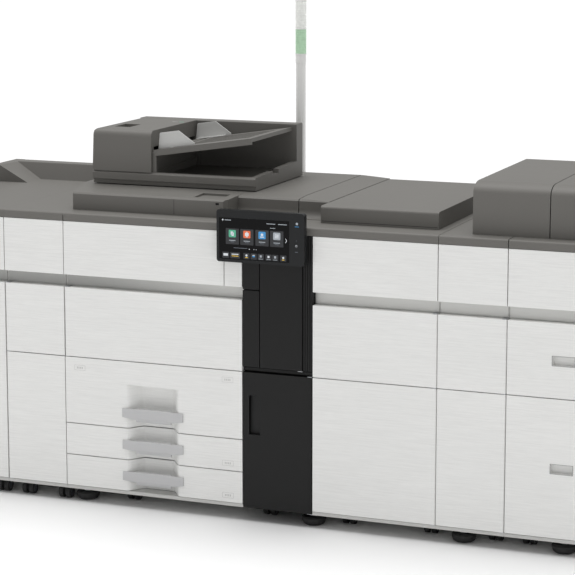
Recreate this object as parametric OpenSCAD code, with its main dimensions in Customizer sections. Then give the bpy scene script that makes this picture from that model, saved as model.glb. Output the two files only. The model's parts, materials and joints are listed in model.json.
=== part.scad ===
/* [Overall] */
// Depth of every cabinet, from the fronts to the rear covers
body_d = 810; // [700:5:950]
// Height of the top deck above the floor
deck_h = 1000; // [940:5:1100]
// Height of the cabinets' undersides above the floor
base_z = 46; // [40:1:60]
// Height of the bottom edge of the white fronts
front_z = 58; // [52:1:75]

/* [Module widths] */
// How far the stacker tray reaches out to the left
stacker_reach = 330; // [250:5:420]
// Finisher at the left end
finisher_w = 420; // [350:5:600]
// Relay unit between the engine and the finisher
relay_w = 226; // [190:2:320]
// Print engine
engine_w = 652; // [600:2:800]
// Black toner column on the engine's right
column_w = 245; // [220:1:300]
// First paper feeder
feeder_1_w = 422; // [360:2:560]
// Second paper feeder
feeder_2_w = 227; // [200:1:320]
// Third paper feeder, the one with two drawers
feeder_3_w = 364; // [320:2:480]

/* [Front lines] */
// Height of the seam between the lower and the upper fronts
mid_h = 508; // [470:1:560]
// Bottom of the recessed grip band
band_low = 748; // [700:1:780]
// Top of the recessed grip band
band_high = 788; // [784:1:830]
// How deep the grip band lies behind the fronts
band_recess = 25; // [15:0.5:26]
// Thickness of the deck above the fronts
cap_t = 27; // [20:1:40]
// Width of the seam between two fronts
seam = 3; // [2:0.5:5]
// Thickness of doors and fronts
door_t = 27; // [26:0.5:34]

/* [Sheet metal and fits] */
// Thickness of the cabinet sheets
sheet = 4; // [2:0.5:8]
// Gap between two fixed pieces
fit = 0.2; // [0.1:0.05:0.5]
// Gap between a door's back and its cabinet
door_gap = 0.5; // [0.4:0.1:1]
// Radius of the hinge pins of the doors
pin_r = 2.5; // [1.5:0.25:3]
// Radial clearance of every shaft in its hole
shaft_clear = 0.05; // [0.02:0.01:0.1]
// Radius of a door's hinge edge
hinge_r = 5; // [4.5:0.5:8]

/* [Paper trays] */
// Height of the upper tray's front
tray_1_h = 231; // [180:1:260]
// Height of the middle tray's front
tray_2_h = 110; // [80:1:130]
// How far the trays reach back
tray_d = 600; // [450:5:650]
// Width of the finger channel at the front
channel_w = 199; // [160:1:240]
// Width of the finger channel's flat back
channel_flat = 96; // [60:1:140]
// Depth of the finger channel
channel_depth = 50; // [30:1:60]
// Height at which the finger channel ends
channel_top = 427; // [380:1:480]
// Width of a handle bar
handle_w = 223; // [205:1:280]
// Height of a handle bar
handle_h = 30; // [20:1:40]
// How far a handle bar stands in front of the tray
handle_proud = 5; // [3:0.5:12]

/* [Toner column] */
// Width of the fixed cover left of the toner door
side_cover_w = 61; // [45:1:80]
// Width of the ribbed strip right of the toner door
strip_w = 33; // [20:1:45]
// Height of the ledge between the toner door and the lower door
ledge_h = 16; // [10:1:30]
// Height of the toner door's top edge
toner_door_top = 872; // [840:1:874]
// Radius of a toner bottle
bottle_r = 44; // [35:1:50]
// Length of a toner bottle
bottle_l = 400; // [300:5:500]

/* [Control panel] */
// Width of the control panel
panel_w = 305; // [260:1:340]
// Height of the control panel
panel_h = 171; // [150:1:172]
// Thickness of the control panel
panel_t = 22; // [16:1:24]
// How far the panel's face stands in front of the fronts
panel_proud = 30; // [28:1:60]
// How far the panel's top edge stands above the deck
panel_rise = 47; // [40:1:70]
// How far the panel reaches left of the toner column
panel_left = 77; // [40:1:120]

/* [Scanner] */
// Height of the scanner's top above the deck
scanner_h = 66; // [55:1:90]
// Height of the shelf in front of the document feeder
shelf_h = 60; // [50:1:66]
// Distance of the shelf behind the fronts
shelf_y = 81; // [60:1:110]
// Distance of the right-hand face behind the fronts
step_y = 180; // [150:1:200]
// Length of the scan carriage's travel
carriage_travel = 420; // [350:5:430]

/* [Document feeder] */
// Width of the document feeder
adf_w = 607; // [560:1:650]
// Depth of the document feeder
adf_d = 445; // [420:1:470]
// Height of the document feeder
adf_h = 188; // [170:1:220]
// Width of the hinged feed cover
feed_cover_w = 223; // [190:1:260]
// Height of the base of the document feeder
adf_base_h = 44; // [36:1:50]
// Thickness of the wall behind the document tray
adf_wall = 57; // [40:1:70]
// Slope of the document tray
tray_slope = 8.6; // [6:0.1:9]
// Length of a document guide
guide_l = 141; // [110:1:180]
// Height of a document guide
guide_h = 54; // [40:1:60]
// Distance between the two document guides
guide_gap = 320; // [300:1:330]

/* [Signal light] */
// Radius of the signal light's pole
pole_r = 19.5; // [14:0.5:22]
// Distance of the pole's centre behind the rear covers
pole_back = 35; // [30:1:60]
// Height of the top of the plain tube
tube_top = 1457; // [1400:1:1600]
// Height of the collar under the lenses
collar_h = 30; // [20:1:50]
// Height of the green lens
green_h = 92; // [60:1:120]
// Height of the clear lens
clear_h = 104; // [60:1:140]

/* [Tops] */
// Height of the first feeder's lid
lid_h = 57; // [40:1:80]
// Height of the box on the second and third feeders
top_box_h = 165; // [130:1:170]
// How far the top of that box stops short of its back
box_back_run = 110; // [60:1:140]
// Height of the finisher's hump
hump_h = 60; // [40:1:80]

/* [Feet and casters] */
// Radius of a levelling foot
foot_r = 40; // [30:1:50]
// Width of one half of a twin wheel
wheel_w = 16; // [12:1:20]

/* [Hidden] */
$fn = 48;

// Colours
white = [0.88, 0.88, 0.87];
deck_grey = [0.42, 0.42, 0.40];
frame_grey = [0.72, 0.72, 0.71];
light_grey = [0.74, 0.74, 0.75];
black = [0.14, 0.14, 0.14];

// Left edges of the modules, measured from the finisher's left side
x_rel = finisher_w;
x_eng = x_rel + relay_w;
x_col = x_eng + engine_w;
x_f1 = x_col + column_w;
x_f2 = x_f1 + feeder_1_w;
x_f3 = x_f2 + feeder_2_w;
x_end = x_f3 + feeder_3_w;
total_w = stacker_reach + x_end;
total_d = panel_proud + body_d + pole_back + pole_r;

// Front to back: 0 is the plane of the fronts
case_y = door_t + door_gap;
case_top = deck_h - cap_t - fit;
bar_t = 18;
bar_h = 12;
band_mid = (band_low + band_high) / 2;

// Trays
tray_1_z = mid_h - tray_1_h;
tray_2_z = tray_1_z - tray_2_h;
tray_wall = 3;
block_y = channel_depth + 4;
runner_w = 18;
runner_h = 16;
handle_lift = 39;
channel_x = x_eng + engine_w / 2;

// Column
strip_x = x_f1 - strip_w;
toner_door_x = x_col + side_cover_w;
toner_door_z = mid_h + ledge_h;
cover_split_z = 782;
column_door_z = base_z + 1;

// Engine interior
inner_front_y = 75;
inner_rear_y = 520;
inner_t = 6;
drum_r = 54;
drum_shaft_r = 8;
drum_x = x_eng + 400;
drum_z = 634;
fuser_x = x_eng + 130;
fuser_upper_r = 28;
fuser_lower_r = 25;
fuser_shaft_r = 6;
fuser_upper_z = 672;
fuser_lower_z = fuser_upper_z - fuser_upper_r - fuser_lower_r - 0.3;
shaft_out = 5;

// Scanner and document feeder
scanner_z = deck_h + fit;
scanner_top = deck_h + scanner_h;
column_top_x = x_f1 - 118;
adf_x = x_eng - 13;
adf_y = 255;
adf_back = adf_y + adf_d;
adf_z = scanner_top + 3;
adf_top = adf_z + adf_h;
adf_floor = adf_z + adf_base_h;
adf_hinge_r = 9;
adf_hinge_y = adf_back + 12;
adf_hinge_z = scanner_top + 16;
adf_pin_r = 4;
cover_x1 = adf_x + feed_cover_w;
cover_hinge_r = 8;
cover_hinge_x = adf_x + cover_hinge_r;
cover_hinge_z = adf_floor + door_gap + cover_hinge_r;
cover_pin_r = 2.5;
cover_post_y = [adf_y + 60, adf_back - adf_wall - 60];
doc_x = cover_x1 + 10;
doc_z = adf_floor + 66;
doc_l = adf_x + adf_w - doc_x - 12;
doc_t = 13;
doc_y0 = adf_y + 8;
doc_y1 = adf_back - adf_wall - 3;
doc_mid_y = (doc_y0 + doc_y1) / 2;
doc_axis_r = 7;
doc_pin_r = 3;
roller_r = 18;
roller_shaft_r = 4;
roller_x = adf_x + 150;
roller_z = adf_floor + 46;
glass_w = 480;
glass_d = 340;
glass_t = 4;
glass_x = adf_x + 55;
glass_y = adf_y + 60;
bay_x = [adf_x + 20, adf_x + adf_w - 60];
bay_y = [adf_y + 30, adf_back - 20];

// Control panel
panel_x = x_col - panel_left;
panel_z = deck_h + panel_rise - panel_h;
barrel_r = 9;
barrel_pin_r = 4;
barrel_y = 6;
barrel_z = deck_h + 18;
barrel_l = 100;
ear_t = 8;
panel_mid_x = panel_x + panel_w / 2;
key_r = 6;
key_x = panel_x + panel_w - 27;
key_z = panel_z + 66;

// Tops
lid_x = [x_f1 - 10, x_f1 + 391];
lid_y = 103;
box_y = 62;
box_x = x_f2 + 93;
box_split = x_f3 + 115;
top_hinge_r = 11;
lid_pin_r = 3;
lid_post_x = [lid_x[0] + 70, lid_x[1] - 70];
bypass_post_x = [box_split + 50, x_end - 60];
hump_y = 618;
rear_wall_y = 723;

// Feet and casters
foot_y = 61;
relay_caster_y = 40;
caster_y = 105;
rear_y = body_d - 110;
wheel_lift = 0.3;
fork_plate_t = 3;
wheel_r = (base_z - fit - fork_plate_t - 1 - wheel_lift) / 2;
wheel_z = wheel_r + wheel_lift;
axle_r = 4;
wheel_half_gap = 5;
foot_x = [150, x_eng + 50, x_f1 - 15, x_f2 + 79, x_f3 + 182];
relay_caster_x = [55, finisher_w - 36, x_rel + 61, x_eng - 23];
caster_x = [x_eng + 208, x_col + 60, x_f1 + 96, x_f2 - 44, x_f3 - 52, x_f3 + 60, x_end - 45];

// Stacker
stacker_y = [170, 560];
stacker_z = 700;
stacker_t = 12;
exit_slot_z = [830, 860];

// Doors: left edge, right edge, bottom, top, and the side of the hinge (-1 left, 1 right)
finisher_door_at = [0, x_rel, front_z, band_low, -1];
relay_lower_at = [x_rel, x_eng, front_z, mid_h, -1];
relay_upper_at = [x_rel, x_eng, mid_h, band_low, -1];
engine_door_at = [x_eng, x_col, mid_h, band_low, -1];
column_lower_at = [x_col, x_f1, column_door_z, mid_h, 1];
toner_door_at = [toner_door_x, strip_x, toner_door_z, toner_door_top, 1];
feeder_1_lower_at = [x_f1, x_f2, front_z, mid_h, 1];
feeder_1_upper_at = [x_f1, x_f2, mid_h, band_low, 1];
feeder_2_lower_at = [x_f2, x_f3, front_z, mid_h, 1];
feeder_2_upper_at = [x_f2, x_f3, mid_h, band_low, 1];
doors = [finisher_door_at, relay_lower_at, relay_upper_at, engine_door_at, column_lower_at,
    toner_door_at, feeder_1_lower_at, feeder_1_upper_at, feeder_2_lower_at, feeder_2_upper_at];
pin_l = 10;
bore_l = 12;
hinge_plate_t = 1.2;
hinge_plate_w = 16;
hinge_chamfer = 3;

function arc(c, r, a0, a1, n = 8) =
    [for (i = [0 : n]) [c[0] + r * cos(a0 + (a1 - a0) * i / n), c[1] + r * sin(a0 + (a1 - a0) * i / n)]];

// A smooth curve from a to c that leaves and arrives in the direction of b
function curve(a, b, c, n = 8) =
    [for (i = [0 : n]) let (t = i / n) (1 - t) * (1 - t) * a + 2 * t * (1 - t) * b + t * t * c];

function round_rect(w, h, r) = concat(
    arc([r, r], r, 180, 270), arc([w - r, r], r, 270, 360),
    arc([w - r, h - r], r, 0, 90), arc([r, h - r], r, 90, 180));

// The whole object stands with the middle of its footprint on the origin
module placed() translate([stacker_reach - total_w / 2, panel_proud - total_d / 2, 0]) children();

// A box from its ranges along x, y and z
module block(x, y, z) translate([x[0], y[0], z[0]]) cube([x[1] - x[0], y[1] - y[0], z[1] - z[0]]);

// A bar with the y-z outline of points, from x[0] to x[1]
module side_profile(x, points)
    translate([x[0], 0, 0]) rotate([90, 0, 90]) linear_extrude(x[1] - x[0]) polygon(points);

// A plate with the x-z outline of points, from y[0] to y[1]
module front_profile(y, points)
    translate([0, y[1], 0]) rotate([90, 0, 0]) linear_extrude(y[1] - y[0]) polygon(points);

// A round bar along y or along x
module bar_y(x, z, r, y) translate([x, y[0], z]) rotate([-90, 0, 0]) cylinder(r = r, h = y[1] - y[0]);
module bar_x(y, z, r, x) translate([x[0], y, z]) rotate([0, 90, 0]) cylinder(r = r, h = x[1] - x[0]);

// The six sheets and the cross bars of one cabinet, each its own solid
module cabinet(x0, x1, plinth_y, bars) {
    l = x0 + fit / 2;
    r = x1 - fit / 2;
    inner = [l + sheet + fit, r - sheet - fit];
    wall_z = [front_z + fit, case_top];
    block([l, r], [plinth_y, body_d], [base_z, front_z]);
    block([l, l + sheet], [case_y, body_d], wall_z);
    block([r - sheet, r], [case_y, body_d], wall_z);
    block(inner, [body_d - sheet, body_d], wall_z);
    block(inner, [case_y, body_d - sheet - fit], [case_top - sheet, case_top]);
    for (bar = bars) block(inner, [case_y, case_y + bar_t], [bar[0] - bar[1] / 2, bar[0] + bar[1] / 2]);
}

mid_bar = [mid_h, bar_h];
band_bar = [band_mid, band_high - band_low + bar_h];
plinth_y = 2;

// A fixed front between two seams
module fixed_front(x0, x1, z0, z1)
    block([x0 + seam / 2, x1 - seam / 2], [0, door_t], [z0 + seam / 2, z1 - seam / 2]);

// The upright line about which a door turns
function hinge_x(at) = at[4] < 0 ? at[0] + seam / 2 + hinge_r : at[1] - seam / 2 - hinge_r;

// A door with a round hinge edge and a bore for each of its two pins
module door(at) {
    x0 = at[0] + seam / 2;
    x1 = at[1] - seam / 2;
    z0 = at[2] + seam / 2;
    z1 = at[3] - seam / 2;
    hx = hinge_x(at);
    edge = at[4] < 0 ? [x0, x0 + hinge_r] : [x1 - hinge_r, x1];
    rest = at[4] < 0 ? [x0 + hinge_r, x1] : [x0, x1 - hinge_r];
    corner = at[4] < 0 ? x0 : x1;
    difference() {
        union() {
            block(rest, [0, door_t], [z0, z1]);
            block(edge, [hinge_r, door_t], [z0, z1]);
            translate([hx, hinge_r, z0]) cylinder(r = hinge_r, h = z1 - z0);
        }
        for (z = [z0 - 1, z1 - bore_l])
            translate([hx, hinge_r, z]) cylinder(r = pin_r + shaft_clear, h = bore_l + 1);
        translate([corner, door_t, z0 - 1]) linear_extrude(z1 - z0 + 2)
            polygon([[-hinge_chamfer, 0], [0, -hinge_chamfer], [hinge_chamfer, 0], [0, hinge_chamfer]]);
    }
}

// A sheet tab with a pin upwards, downwards or both
module hinge_plate(at, z, up, down) {
    hx = hinge_x(at);
    x0 = at[4] < 0 ? at[0] + seam / 2 : at[1] - seam / 2 - hinge_plate_w;
    half_t = hinge_plate_t / 2;
    block([x0, x0 + hinge_plate_w], [1, case_y - fit], [z - half_t, z + half_t]);
    if (up) translate([hx, hinge_r, z]) cylinder(r = pin_r, h = half_t + pin_l);
    if (down) translate([hx, hinge_r, z - half_t - pin_l]) cylinder(r = pin_r, h = half_t + pin_l);
}

// The finger channel's outline, a smooth scoop with a flat back
function scoop() =
    let (wide = channel_w / 2, flat = channel_flat / 2, n = 8)
    concat([[-wide, -1]],
        [for (i = [0 : n]) [-wide + (wide - flat) * i / n, channel_depth * (1 - cos(180 * i / n)) / 2]],
        [for (i = [0 : n]) [flat + (wide - flat) * i / n, channel_depth * (1 + cos(180 * i / n)) / 2]],
        [[wide, -1]]);

// A paper tray: a front, the scooped channel, and an open bin behind it
module paper_tray(z_low, z_high, scoop_top, bin_drop) {
    z0 = z_low + seam / 2;
    z1 = z_high - seam / 2;
    bin_x = [x_eng + sheet + fit + runner_w + 0.5, x_col - sheet - fit - runner_w - 0.5];
    bin_z = [z0 + 3, z1 - bin_drop];
    guard_x = [channel_x - channel_w / 2 - 12, channel_x + channel_w / 2 + 12];
    guard_z = [z0, min(z1, scoop_top + 6)];
    difference() {
        union() {
            fixed_front(x_eng, x_col, z_low, z_high);
            block(bin_x, [door_t - 1, tray_d], bin_z);
            block(guard_x, [door_t - 1, block_y], guard_z);
        }
        difference() {
            block([bin_x[0] + tray_wall, bin_x[1] - tray_wall],
                [door_t + tray_wall, tray_d - tray_wall], [bin_z[0] + tray_wall, z1 + 1]);
            block(guard_x, [0, block_y], [z0 - 1, guard_z[1]]);
        }
        translate([channel_x, 0, z0 - 1]) linear_extrude(scoop_top - z0 + 1) polygon(scoop());
    }
}

// A handle bar that bridges the finger channel
module handle_bar(z_low) {
    z = [z_low + handle_lift, z_low + handle_lift + handle_h];
    grip_w = channel_w - 70;
    lip_w = grip_w + 18;
    drop = 6.5;
    block([channel_x - handle_w / 2, channel_x + handle_w / 2], [-handle_proud, -fit], z);
    block([channel_x - grip_w / 2, channel_x + grip_w / 2], [-fit - 1, 10], [z[0] - 3, z[1]]);
    // Lip under the bar that leans back into the channel
    intersection() {
        side_profile([channel_x - handle_w / 2, channel_x + handle_w / 2],
            [[-handle_proud, z[0] + 1], [-handle_proud, z[0]], [-fit, z[0] - drop], [-fit, z[0] + 1]]);
        front_profile([-handle_proud - 1, 0], [[channel_x - handle_w / 2, z[0] + 2], [channel_x - handle_w / 2, z[0]],
            [channel_x - lip_w / 2, z[0] - drop - 1], [channel_x + lip_w / 2, z[0] - drop - 1],
            [channel_x + handle_w / 2, z[0]], [channel_x + handle_w / 2, z[0] + 2]]);
    }
    side_profile([channel_x - grip_w / 2, channel_x + grip_w / 2],
        [[-fit - 1, z[0]], [-fit - 1, z[0] - drop + 1], [7, z[0] - 16], [10, z[0] - 16], [10, z[0]]]);
}

// A slab with a rounded front top edge and, where asked, a seam groove
module deck_slab(x0, x1) {
    r = 8;
    side_profile([x0, x1], concat([[0, deck_h - cap_t], [body_d, deck_h - cap_t], [body_d, deck_h]],
        arc([r, deck_h - r], r, 90, 180)));
}

// A lid or cover that turns about a round lower rear edge
function lid_outline(y0, h) =
    let (b = body_d - 1, z = deck_h + door_gap, r = top_hinge_r, e = 10)
    concat([[y0, z]], arc([b - r, z + r], r, 270, 360), arc([b - e, deck_h + h - e], e, 0, 90, 4),
        arc([y0 + e, deck_h + h - e], e, 90, 180, 4));

// The line about which both lids turn
lid_hinge_y = body_d - 1 - top_hinge_r;
lid_hinge_z = deck_h + door_gap + top_hinge_r;

// A post with a pin on the deck, for a lid's rear edge
module lid_post(x) {
    block([x - 8, x + 8], [lid_hinge_y - 5, lid_hinge_y + 5], [deck_h - 1, lid_hinge_z + 5]);
    bar_x(lid_hinge_y, lid_hinge_z, lid_pin_r, [x - 20, x + 20]);
}

// The notch and bore in a lid that go over such a post
module lid_notch(x) {
    block([x - 8.5, x + 8.5], [lid_hinge_y - 17, body_d], [deck_h - 1, lid_hinge_z + 16]);
    bar_x(lid_hinge_y, lid_hinge_z, lid_pin_r + shaft_clear, [x - 22, x + 22]);
}

// The rounded shoulder of the box on the second and third feeders
function box_outline(z) =
    let (top = deck_h + top_box_h, b = body_d - 1, r = top_hinge_r)
    concat([[box_y, z]], arc([b - r, z + r], r, 270, 360), [[b, top - 60], [b - box_back_run, top]],
        curve([box_y + 60, top], [box_y + 8, top - 3], [box_y + 2, top - 32]));

module finisher_casing() color(frame_grey) placed() {
    difference() {
        cabinet(0, x_rel, plinth_y, [band_bar]);
        block([-1, sheet + 1], [stacker_y[0] + 10, stacker_y[1] - 10], exit_slot_z);
    }
    for (y = [stacker_y[0] + 60, stacker_y[1] - 60])
        block([-5, -fit], [y - 12, y + 12], [160, exit_slot_z[0] - 20]);
}

module relay_casing() color(frame_grey) placed() cabinet(x_rel, x_eng, plinth_y, [mid_bar, band_bar]);

module engine_casing() color(frame_grey) placed() {
    cabinet(x_eng, x_col, plinth_y, [mid_bar, band_bar]);
    l = x_eng + fit / 2 + sheet + fit;
    r = x_col - fit / 2 - sheet - fit;
    for (z = [front_z + 40, tray_2_z + 45, tray_1_z + 90]) {
        block([l, l + runner_w], [case_y + fit, tray_d], [z, z + runner_h]);
        block([r - runner_w, r], [case_y + fit, tray_d], [z, z + runner_h]);
    }
    for (y = [inner_front_y, inner_rear_y]) difference() {
        block([l, r], [y, y + inner_t], [mid_h + 12, band_low - 12]);
        bar_y(drum_x, drum_z, drum_shaft_r + shaft_clear, [y - 1, y + inner_t + 1]);
        bar_y(fuser_x, fuser_upper_z, fuser_shaft_r + shaft_clear, [y - 1, y + inner_t + 1]);
        bar_y(fuser_x, fuser_lower_z, fuser_shaft_r + shaft_clear, [y - 1, y + inner_t + 1]);
    }
}

module column_frame() color(black) placed() {
    cabinet(x_col, x_f1, case_y, [[mid_h + ledge_h / 2, ledge_h + bar_h], [toner_door_top, bar_h]]);
    fixed_front(x_col, toner_door_x, toner_door_z, cover_split_z);
    fixed_front(x_col, toner_door_x, cover_split_z, deck_h - cap_t);
    fixed_front(toner_door_x, strip_x, toner_door_top, deck_h - cap_t);
    difference() {
        fixed_front(strip_x, x_f1, toner_door_z, deck_h - cap_t);
        for (i = [1 : 3])
            block([strip_x + strip_w * i / 4 - 1, strip_x + strip_w * i / 4 + 1], [-1, 2],
                [toner_door_z, deck_h - cap_t]);
    }
    block([x_col + seam / 2, x_f1 - seam / 2], [10, door_t], [mid_h + seam, toner_door_z - seam / 2]);
    for (z = [bottle_z(0), bottle_z(1)])
        block([x_col + fit / 2 + sheet + fit, x_f1 - fit / 2 - sheet - fit],
            [case_y + bar_t + fit, 60 + bottle_l], [z - bottle_r - 0.3 - sheet, z - bottle_r - 0.3]);
}

module feeder_1_casing() color(frame_grey) placed() cabinet(x_f1, x_f2, plinth_y, [mid_bar, band_bar]);
module feeder_2_casing() color(frame_grey) placed() cabinet(x_f2, x_f3, plinth_y, [mid_bar, band_bar]);

module feeder_3_casing() color(frame_grey) placed() {
    cabinet(x_f3, x_end, plinth_y, [mid_bar, band_bar]);
    l = x_f3 + fit / 2 + sheet + fit;
    r = x_end - fit / 2 - sheet - fit;
    for (z = [front_z + 200, mid_h + 90]) {
        block([l, l + runner_w], [case_y + bar_t + fit, tray_d], [z, z + runner_h]);
        block([r - runner_w, r], [case_y + bar_t + fit, tray_d], [z, z + runner_h]);
    }
}

// The finisher's deck with its hump and the low wall along the back
module finisher_top_cover() color(deck_grey) placed() {
    deck_slab(fit / 2, x_rel - fit / 2);
    front_profile([hump_y, body_d],
        [[26, deck_h - 1], [180, deck_h - 1], [180, deck_h], [67, deck_h + hump_h], [32, deck_h + hump_h],
        [26, deck_h + hump_h - 6]]);
    rear_wall(60, x_rel - fit / 2);
}

module rear_wall(x0, x1) side_profile([x0, x1],
    [[rear_wall_y, deck_h - 1], [body_d, deck_h - 1], [body_d, deck_h + hump_h - 6],
    [body_d - 6, deck_h + hump_h], [rear_wall_y + 30, deck_h + hump_h], [rear_wall_y + 27, deck_h + hump_h - 3]]);

// The deck over the relay unit, the engine and the toner column
module engine_top_cover() color(deck_grey) placed() {
    difference() {
        deck_slab(x_rel + fit / 2, x_f1 - fit / 2);
        block([x_eng - seam / 2, x_eng + seam / 2], [-1, 3], [deck_h - cap_t - 1, deck_h - 7]);
    }
    rear_wall(x_rel + fit / 2, x_eng - 58);
    // The raised part over the toner column
    intersection() {
        side_profile([column_top_x + seam, x_f1 - 12], scanner_outline(deck_h - 1, step_y));
        front_profile([0, body_d], [[column_top_x, deck_h - 2], [x_f1, deck_h - 2], [x_f1, deck_h + scanner_h - 9],
            [column_top_x, deck_h + scanner_h]]);
    }
}

// The decks of the three feeders and the fixed half of the top box
module feeder_top_covers() color(deck_grey) placed() {
    deck_slab(x_f1 + fit / 2, x_f2 - fit / 2);
    deck_slab(x_f2 + seam / 2, x_f3 - seam / 2);
    deck_slab(x_f3 + seam / 2, x_end);
    side_profile([box_x, box_split - seam / 2], box_outline(deck_h + fit));
    for (x = concat(lid_post_x, bypass_post_x)) lid_post(x);
}

// White fronts between the grip band and the deck
module upper_front_panels() color(white) placed() {
    edges = [0, x_rel, x_eng, x_col - 64, x_col];
    for (i = [0 : 3]) fixed_front(edges[i], edges[i + 1], band_high, deck_h - cap_t);
    for (x = [[x_f1, x_f2], [x_f2, x_f3], [x_f3, x_end]])
        fixed_front(x[0], x[1], band_high, deck_h - cap_t);
}

// Strips at the back of the finger recess
module grip_bands() color(light_grey) placed()
    for (x = [[0, x_rel], [x_rel, x_eng], [x_eng, x_col], [x_f1, x_f2], [x_f2, x_f3], [x_f3, x_end]])
        block([x[0] + seam, x[1] - seam], [band_recess, case_y - fit], [band_low + 1.5, band_high - 1.5]);

// Tabs in the seams that carry the pins of the doors
module hinge_plates() color(light_grey) placed() {
    on_base = 0.75;
    for (at = [finisher_door_at, relay_lower_at, feeder_1_lower_at, feeder_2_lower_at])
        hinge_plate(at, front_z + on_base, true, false);
    for (at = [relay_lower_at, feeder_1_lower_at, feeder_2_lower_at]) hinge_plate(at, mid_h, true, true);
    hinge_plate(engine_door_at, mid_h + 0.6, true, false);
    for (at = [finisher_door_at, relay_upper_at, engine_door_at, feeder_1_upper_at, feeder_2_upper_at])
        hinge_plate(at, band_low, false, true);
    hinge_plate(column_lower_at, column_door_z + on_base, true, false);
    hinge_plate(column_lower_at, mid_h, false, true);
    hinge_plate(toner_door_at, toner_door_z, true, false);
    hinge_plate(toner_door_at, toner_door_top, false, true);
}

// Pad and threaded neck, front and back
module levelling_feet() color(black) placed()
    for (x = foot_x, y = [foot_y, body_d - foot_y]) translate([x, y, 0]) {
        rotate_extrude() polygon([[0, 0], [foot_r * 0.7, 0], [foot_r * 0.9, 6], [foot_r, 16], [foot_r, 24],
            [foot_r - 4, 28], [12, 28], [12, base_z - fit], [0, base_z - fit]]);
    }

module caster_fork(x, y) {
    top = base_z - fit;
    // Hood over the wheel, stem and axle
    translate([x, y, 0]) {
        translate([0, 0, top - fork_plate_t]) cylinder(r = 22, h = fork_plate_t);
        block([-wheel_half_gap + 1, wheel_half_gap - 1], [-10, 10], [wheel_z - 8, top - 1]);
    }
    bar_x(y, wheel_z, axle_r, [x - wheel_w - wheel_half_gap, x + wheel_w + wheel_half_gap]);
}

module caster_forks() color(black) placed() {
    for (x = relay_caster_x) caster_fork(x, relay_caster_y);
    for (x = caster_x) caster_fork(x, caster_y);
    for (x = concat(relay_caster_x, caster_x)) caster_fork(x, rear_y);
}

module twin_wheel(x, y) for (side = [-1, 1]) {
    from = side < 0 ? x - wheel_half_gap - wheel_w : x + wheel_half_gap;
    difference() {
        bar_x(y, wheel_z, wheel_r, [from, from + wheel_w]);
        bar_x(y, wheel_z, axle_r + shaft_clear, [from - 1, from + wheel_w + 1]);
    }
}

module relay_caster_wheels() color(black) placed() for (x = relay_caster_x) twin_wheel(x, relay_caster_y);
module front_caster_wheels() color(black) placed() for (x = caster_x) twin_wheel(x, caster_y);
module rear_caster_wheels() color(black) placed()
    for (x = concat(relay_caster_x, caster_x)) twin_wheel(x, rear_y);

module finisher_front_door() color(white) placed() door(finisher_door_at);
module relay_upper_door() color(white) placed() door(relay_upper_at);
module relay_lower_door() color(white) placed() door(relay_lower_at);
module engine_front_door() color(white) placed() door(engine_door_at);
module feeder_1_upper_door() color(white) placed() door(feeder_1_upper_at);
module feeder_1_lower_door() color(white) placed() door(feeder_1_lower_at);
module feeder_2_upper_door() color(white) placed() door(feeder_2_upper_at);
module feeder_2_lower_door() color(white) placed() door(feeder_2_lower_at);
module toner_door() color(black) placed() door(toner_door_at);

// The lower black door with its upright finger recess
module column_lower_door() color(black) placed() difference() {
    door(column_lower_at);
    block([x_col + 23, x_col + 62], [-1, 18], [mid_h - 210, mid_h - 78]);
}

module tray_1() color(white) placed() paper_tray(tray_1_z, mid_h, channel_top, 30);
module tray_2() color(white) placed() paper_tray(tray_2_z, tray_1_z, tray_1_z + 1, 20);
module tray_3() color(white) placed() paper_tray(front_z, tray_2_z, tray_2_z + 1, 20);
module tray_1_handle() color(light_grey) placed() handle_bar(tray_1_z);
module tray_2_handle() color(light_grey) placed() handle_bar(tray_2_z);
module tray_3_handle() color(light_grey) placed() handle_bar(front_z);

// A feeder drawer: a front with a recessed pull, and an open bin
module feeder_drawer(z_low, z_high, bin_drop) {
    pull_w = 72;
    pull_h = 30;
    mid_x = (x_f3 + x_end) / 2;
    mid_z = (z_low + z_high) / 2;
    inset = sheet + 1.5 * fit + runner_w + 0.5;
    bin_x = [x_f3 + inset, x_end - inset];
    bin_z = [z_low + 12, z_high - bin_drop];
    difference() {
        union() {
            fixed_front(x_f3, x_end, z_low, z_high);
            block(bin_x, [door_t - 1, tray_d], bin_z);
        }
        block([bin_x[0] + tray_wall, bin_x[1] - tray_wall], [door_t + tray_wall, tray_d - tray_wall],
            [bin_z[0] + tray_wall, z_high]);
        block([mid_x - pull_w / 2, mid_x + pull_w / 2], [-1, 17], [mid_z - pull_h / 2, mid_z + pull_h / 2]);
        block([mid_x - pull_w / 2, mid_x + pull_w / 2], [7, 17], [mid_z, mid_z + pull_h / 2 + 8]);
    }
}

module feeder_3_upper_drawer() color(white) placed() feeder_drawer(mid_h, band_low, 20);
module feeder_3_lower_drawer() color(white) placed() feeder_drawer(front_z, mid_h, 30);

// The lid over the first feeder, hollow underneath
module feeder_1_lid() color(deck_grey) placed() difference() {
    union() {
        side_profile(lid_x, lid_outline(lid_y, lid_h));
        bar_x(lid_hinge_y, lid_hinge_z, top_hinge_r, lid_x);
    }
    for (x = lid_post_x) lid_notch(x);
    block([lid_x[0] + 8, lid_x[1] - 8], [lid_y + 8, body_d - 40], [deck_h - 1, deck_h + lid_h - 8]);
}

// The hinged half of the top box, with a finger recess in its top
module bypass_lid() color(deck_grey) placed() difference() {
    union() {
        side_profile([box_split + seam / 2, x_end - 1], box_outline(deck_h + door_gap));
        bar_x(lid_hinge_y, lid_hinge_z, top_hinge_r, [box_split + seam / 2, x_end - 1]);
    }
    for (x = bypass_post_x) lid_notch(x);
    block([box_split + 10, x_end - 10], [box_y + 10, body_d - 50], [deck_h - 1, deck_h + 100]);
    block([x_end - 190, x_end - 90], [box_y + 104, box_y + 140], [deck_h + top_box_h - 14, deck_h + top_box_h + 1]);
}

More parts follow.
